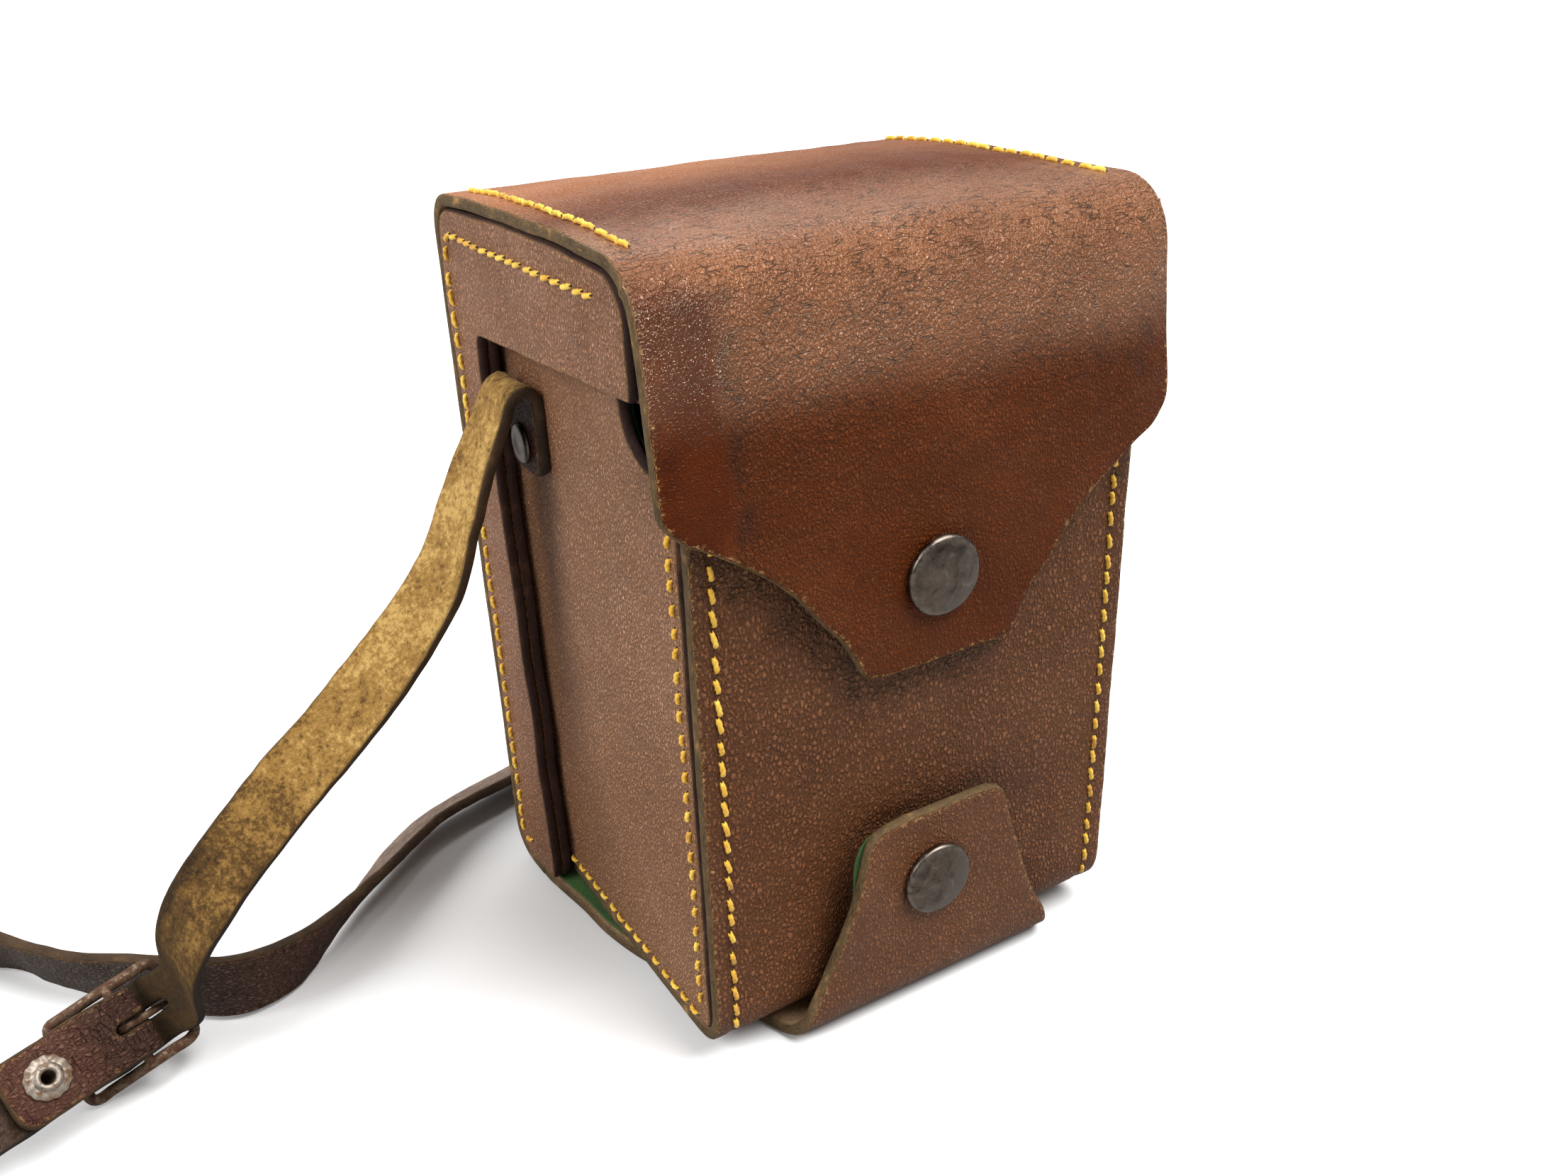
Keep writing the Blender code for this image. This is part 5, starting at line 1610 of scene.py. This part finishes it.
def build_right_strap():
    band = right_band()
    rivet_v = band.mark(np.array([TRAY_HALF, FOLD[1], RIVET_HEIGHT]))
    split = band.mark(np.array([59.0, 21.0, 90.0]))
    late = band.mark(np.array([-169.0, 65.5, 7.2]))
    bar_main = band.mark(at_buckle(1.6, -2.6), late)
    bar_chape = band.mark(at_buckle(1.8, 2.6), late)
    eyelet_main = band.mark(at_buckle(EYELET_ALONG, -1.3), late)
    eyelet_chape = band.mark(at_buckle(EYELET_ALONG, 1.3), bar_chape)
    stain = [
        (0, 0.7), (split, 0.15), (late * 0.6, 0.3), (late, 0.3), (late + 12, 1.3), (bar_chape, 0.6),
        (bar_chape + 8, 0.10),
    ]

    def masks(u, v):
        dark = np.interp(v, *zip(*stain)) + 0.12 * ripple(u, v, 14, 84)
        return {
            "dark": np.clip(dark, 0, 1),
            "polish": 0.15 * smoothstep(v, bar_chape, bar_chape + 6),
            "crease": 0.7 * dent(u * 0, v, (0, bar_chape), 7) + 0.4,
            # Painted reflection of the white floor, greying the strap where it runs behind the case.
            "fade_and_painted_light": smoothstep(v, late - 90, late - 50) * smoothstep(v, late + 30, late),
        }

    shared = {"relief": strap_relief, "masks": masks, "plain": lambda u, v: np.abs(v - split) < 0.2}
    finishes = [STRAP_GRAIN, STRAP_CUT, STRAP_BACK]
    fold = panel(
        "right_strap_fold", band, strap_outline(0, split, 4, 0, 95), STRAP_THICKNESS, finishes, spacing=0.9,
        holes=[hole(0, rivet_v, STRAP_RIVET_HOLE, 18)], **shared,
    )
    settle(fold, strap_fold(1), "strap_leather", "right_strap_end")
    holes = [hole(0, v, EYELET_HOLE, 18) for v in (eyelet_main, eyelet_chape)]
    strap = panel(
        "right_strap_leather", band, strap_outline(split, band.end(), 0, 5.2, 95), STRAP_THICKNESS,
        finishes, spacing=1.0, holes=[slot(bar_main, bar_chape), *holes], **shared,
    )
    settle(strap, "strap", "strap_leather", "right_strap")


def build_eyelet():
    outer, bore = 3.8, 1.15
    petals = 13
    profile = [
        (bore, -3.2), (2.2, -3.3), (3.6, -3.1), (3.6, -2.8), (1.6, -2.75), (1.6, 2.45), (outer - 0.5, 2.5),
        (outer, 2.62), (outer - 0.05, 2.9), (outer - 0.5, 3.12), (outer - 1.3, 3.24), (2.4, 3.42),
        (1.9, 3.62), (1.5, 3.66), (1.25, 3.5), (bore, 3.1),
    ]

    def scalloped(radius, height, angle):
        """The rolled rim split into petals as it was set."""
        share = smoothstep(radius, 1.8, outer)
        swell = 0.022 * share * math.cos(petals * angle)
        return radius * (1 + swell), height + 0.05 * share * math.cos(petals * angle + 0.6)

    eyelet = turned("eyelet", profile, at_buckle(EYELET_ALONG, 0), OUTWARD, EYELET, 90, scalloped)
    settle(eyelet, "strap", "eyelet_metal", "chape_eyelet")


def build_buckle():
    half = STRAP_WIDTH / 2 + 0.4 + WIRE
    rail = [(8.4, -6.9), (6.2, -5.6), (3.2, -2.9), (0.0, -0.1), (-4.0, 0.3), (-7.6, 0.1)]
    loop = [(s, n, half) for s, n in rail]
    loop += [(-9.2, -0.1, half - 1.6), (-9.3, -0.1, 0), (-9.2, -0.1, 1.6 - half)]
    loop += [(s, n, -half) for s, n in reversed(rail)]
    loop += [(9.3, -7.5, 1.6 - half), (9.4, -7.6, 0), (9.3, -7.5, half - 1.6)]
    line = curve_through([at_buckle(*p) for p in loop + loop[:3]], 6)[6:-12]
    wire = tube("buckle_wire", resample(line, 0.5, closed=True), NICKEL, WIRE, True, (OUTWARD, 0.8))
    settle(wire, "strap", "buckle_metal", "buckle_frame")
    bar_line = [at_buckle(0, 0, w) for w in np.linspace(-half, half, 16)]
    settle(tube("buckle_bar", bar_line, NICKEL, WIRE * 0.86), "strap", "buckle_metal")


def build_prong():
    """A strip curled round the bar, with a finger that runs to the far bar."""
    radius = WIRE + 0.35
    turns = np.radians(np.linspace(150, -200, 30))
    curl = [at_buckle(radius * math.cos(a), radius * math.sin(a)) for a in turns]
    reach = ((-1.7, -0.9), (-4.0, -1.5), (-7.5, -1.9), (-10.4, -1.75))
    finger = curve_through([at_buckle(s, n) for s, n in reach], 6)
    line = np.vstack([curl[:-1], finger])
    share = lengths(line) / lengths(line)[-1]
    size = 0.72 * (1 - 0.45 * smoothstep(share, 0.7, 1.0))
    prong = tube("prong", line, NICKEL, size, flatten=(OUTWARD, 0.5))
    settle(prong, "prong", "buckle_metal", "buckle_prong")


# ---------------------------------------------------------------- stage


def build_stage():
    """A plain light floor, a white sky and soft lights."""
    floor_finish = Finish("floor")
    tone = floor_finish.noise(floor_finish.solid_place(), 90, 2)
    shade = floor_finish.ramp(tone, [(0.3, (0.37, 0.37, 0.37)), (0.7, (0.39, 0.39, 0.39))])
    seen = floor_finish.add("LightPath", {}, "Is Camera Ray")
    colour = floor_finish.mix(seen, shade, (0.88, 0.88, 0.88))
    floor_finish.finish(colour, 0.9, floor_finish.bump(tone, 0.02, 0.1), Specular_IOR_Level=0.1)
    size = 6000
    square = [(-size, -size, 0), (size, -size, 0), (size, size, 0), (-size, size, 0)]
    floor = mesh_object("floor", square, [(0, 1, 2, 3)], [floor_finish.material])
    floor.location.z = min(cad_low.z, 0.0) - 0.0002

    # the sky is bright to the camera, and dimmer where it lights the case
    world = bpy.data.worlds.new("studio")
    world.use_nodes = True
    tree = world.node_tree
    sky = tree.nodes["Background"]
    eye = tree.nodes.new("ShaderNodeLightPath").outputs["Is Camera Ray"]
    bright = tree.nodes.new("ShaderNodeMapRange")
    bright.inputs["To Min"].default_value = 0.30
    bright.inputs["To Max"].default_value = 1.10
    tree.links.new(eye, bright.inputs["Value"])
    tree.links.new(bright.outputs["Result"], sky.inputs["Strength"])
    sky.inputs["Color"].default_value = (1.0, 0.99, 0.975, 1)
    bpy.context.scene.world = world
    bpy.context.scene.view_settings.view_transform = "Standard"

    soft_sun("top_light", (0.42, -0.36, 1.0), 40, 4.6)
    soft_sun("back_light", (0.30, 0.86, 0.58), 44, 0.8)
    soft_sun("left_light", (-0.90, 0.05, 0.62), 36, 3.0)


def soft_sun(name, towards, angle, power):
    """A wide far light, like a white ceiling or a window, of the same strength all over the floor."""
    data = bpy.data.lights.new(name, "SUN")
    data.angle = math.radians(angle)
    data.energy = power
    light = bpy.data.objects.new(name, data)
    bpy.context.scene.collection.objects.link(light)
    light.rotation_euler = Vector(towards).to_track_quat("Z", "Y").to_euler()


def build_camera():
    """A moderately wide view from the front left, from above, as in the photo."""
    data = bpy.data.cameras.new("camera")
    data.sensor_width = 36.0
    data.lens = 31.65
    camera = bpy.data.objects.new("camera", data)
    bpy.context.scene.collection.objects.link(camera)
    right = Vector((0.8543, -0.5188, -0.0312)).normalized()
    forward = Vector((0.4561, 0.7770, -0.4338))
    forward = (forward - right * forward.dot(right)).normalized()
    up = right.cross(forward)
    turn = Matrix((right, up, -forward)).transposed().to_4x4()
    camera.matrix_world = Matrix.Translation(Vector((-126.9, -211.7, 186.4)) * MM) @ turn
    data.clip_start = 0.01
    data.clip_end = 50
    bpy.context.scene.camera = camera


build_cover()
build_hinge()
build_flap()
build_gussets()
build_tray()
build_sides()
build_strip()
build_snaps()
build_rivets()
build_left_strap()
build_right_strap()
build_eyelet()
build_buckle()
build_prong()
build_stage()
build_camera()
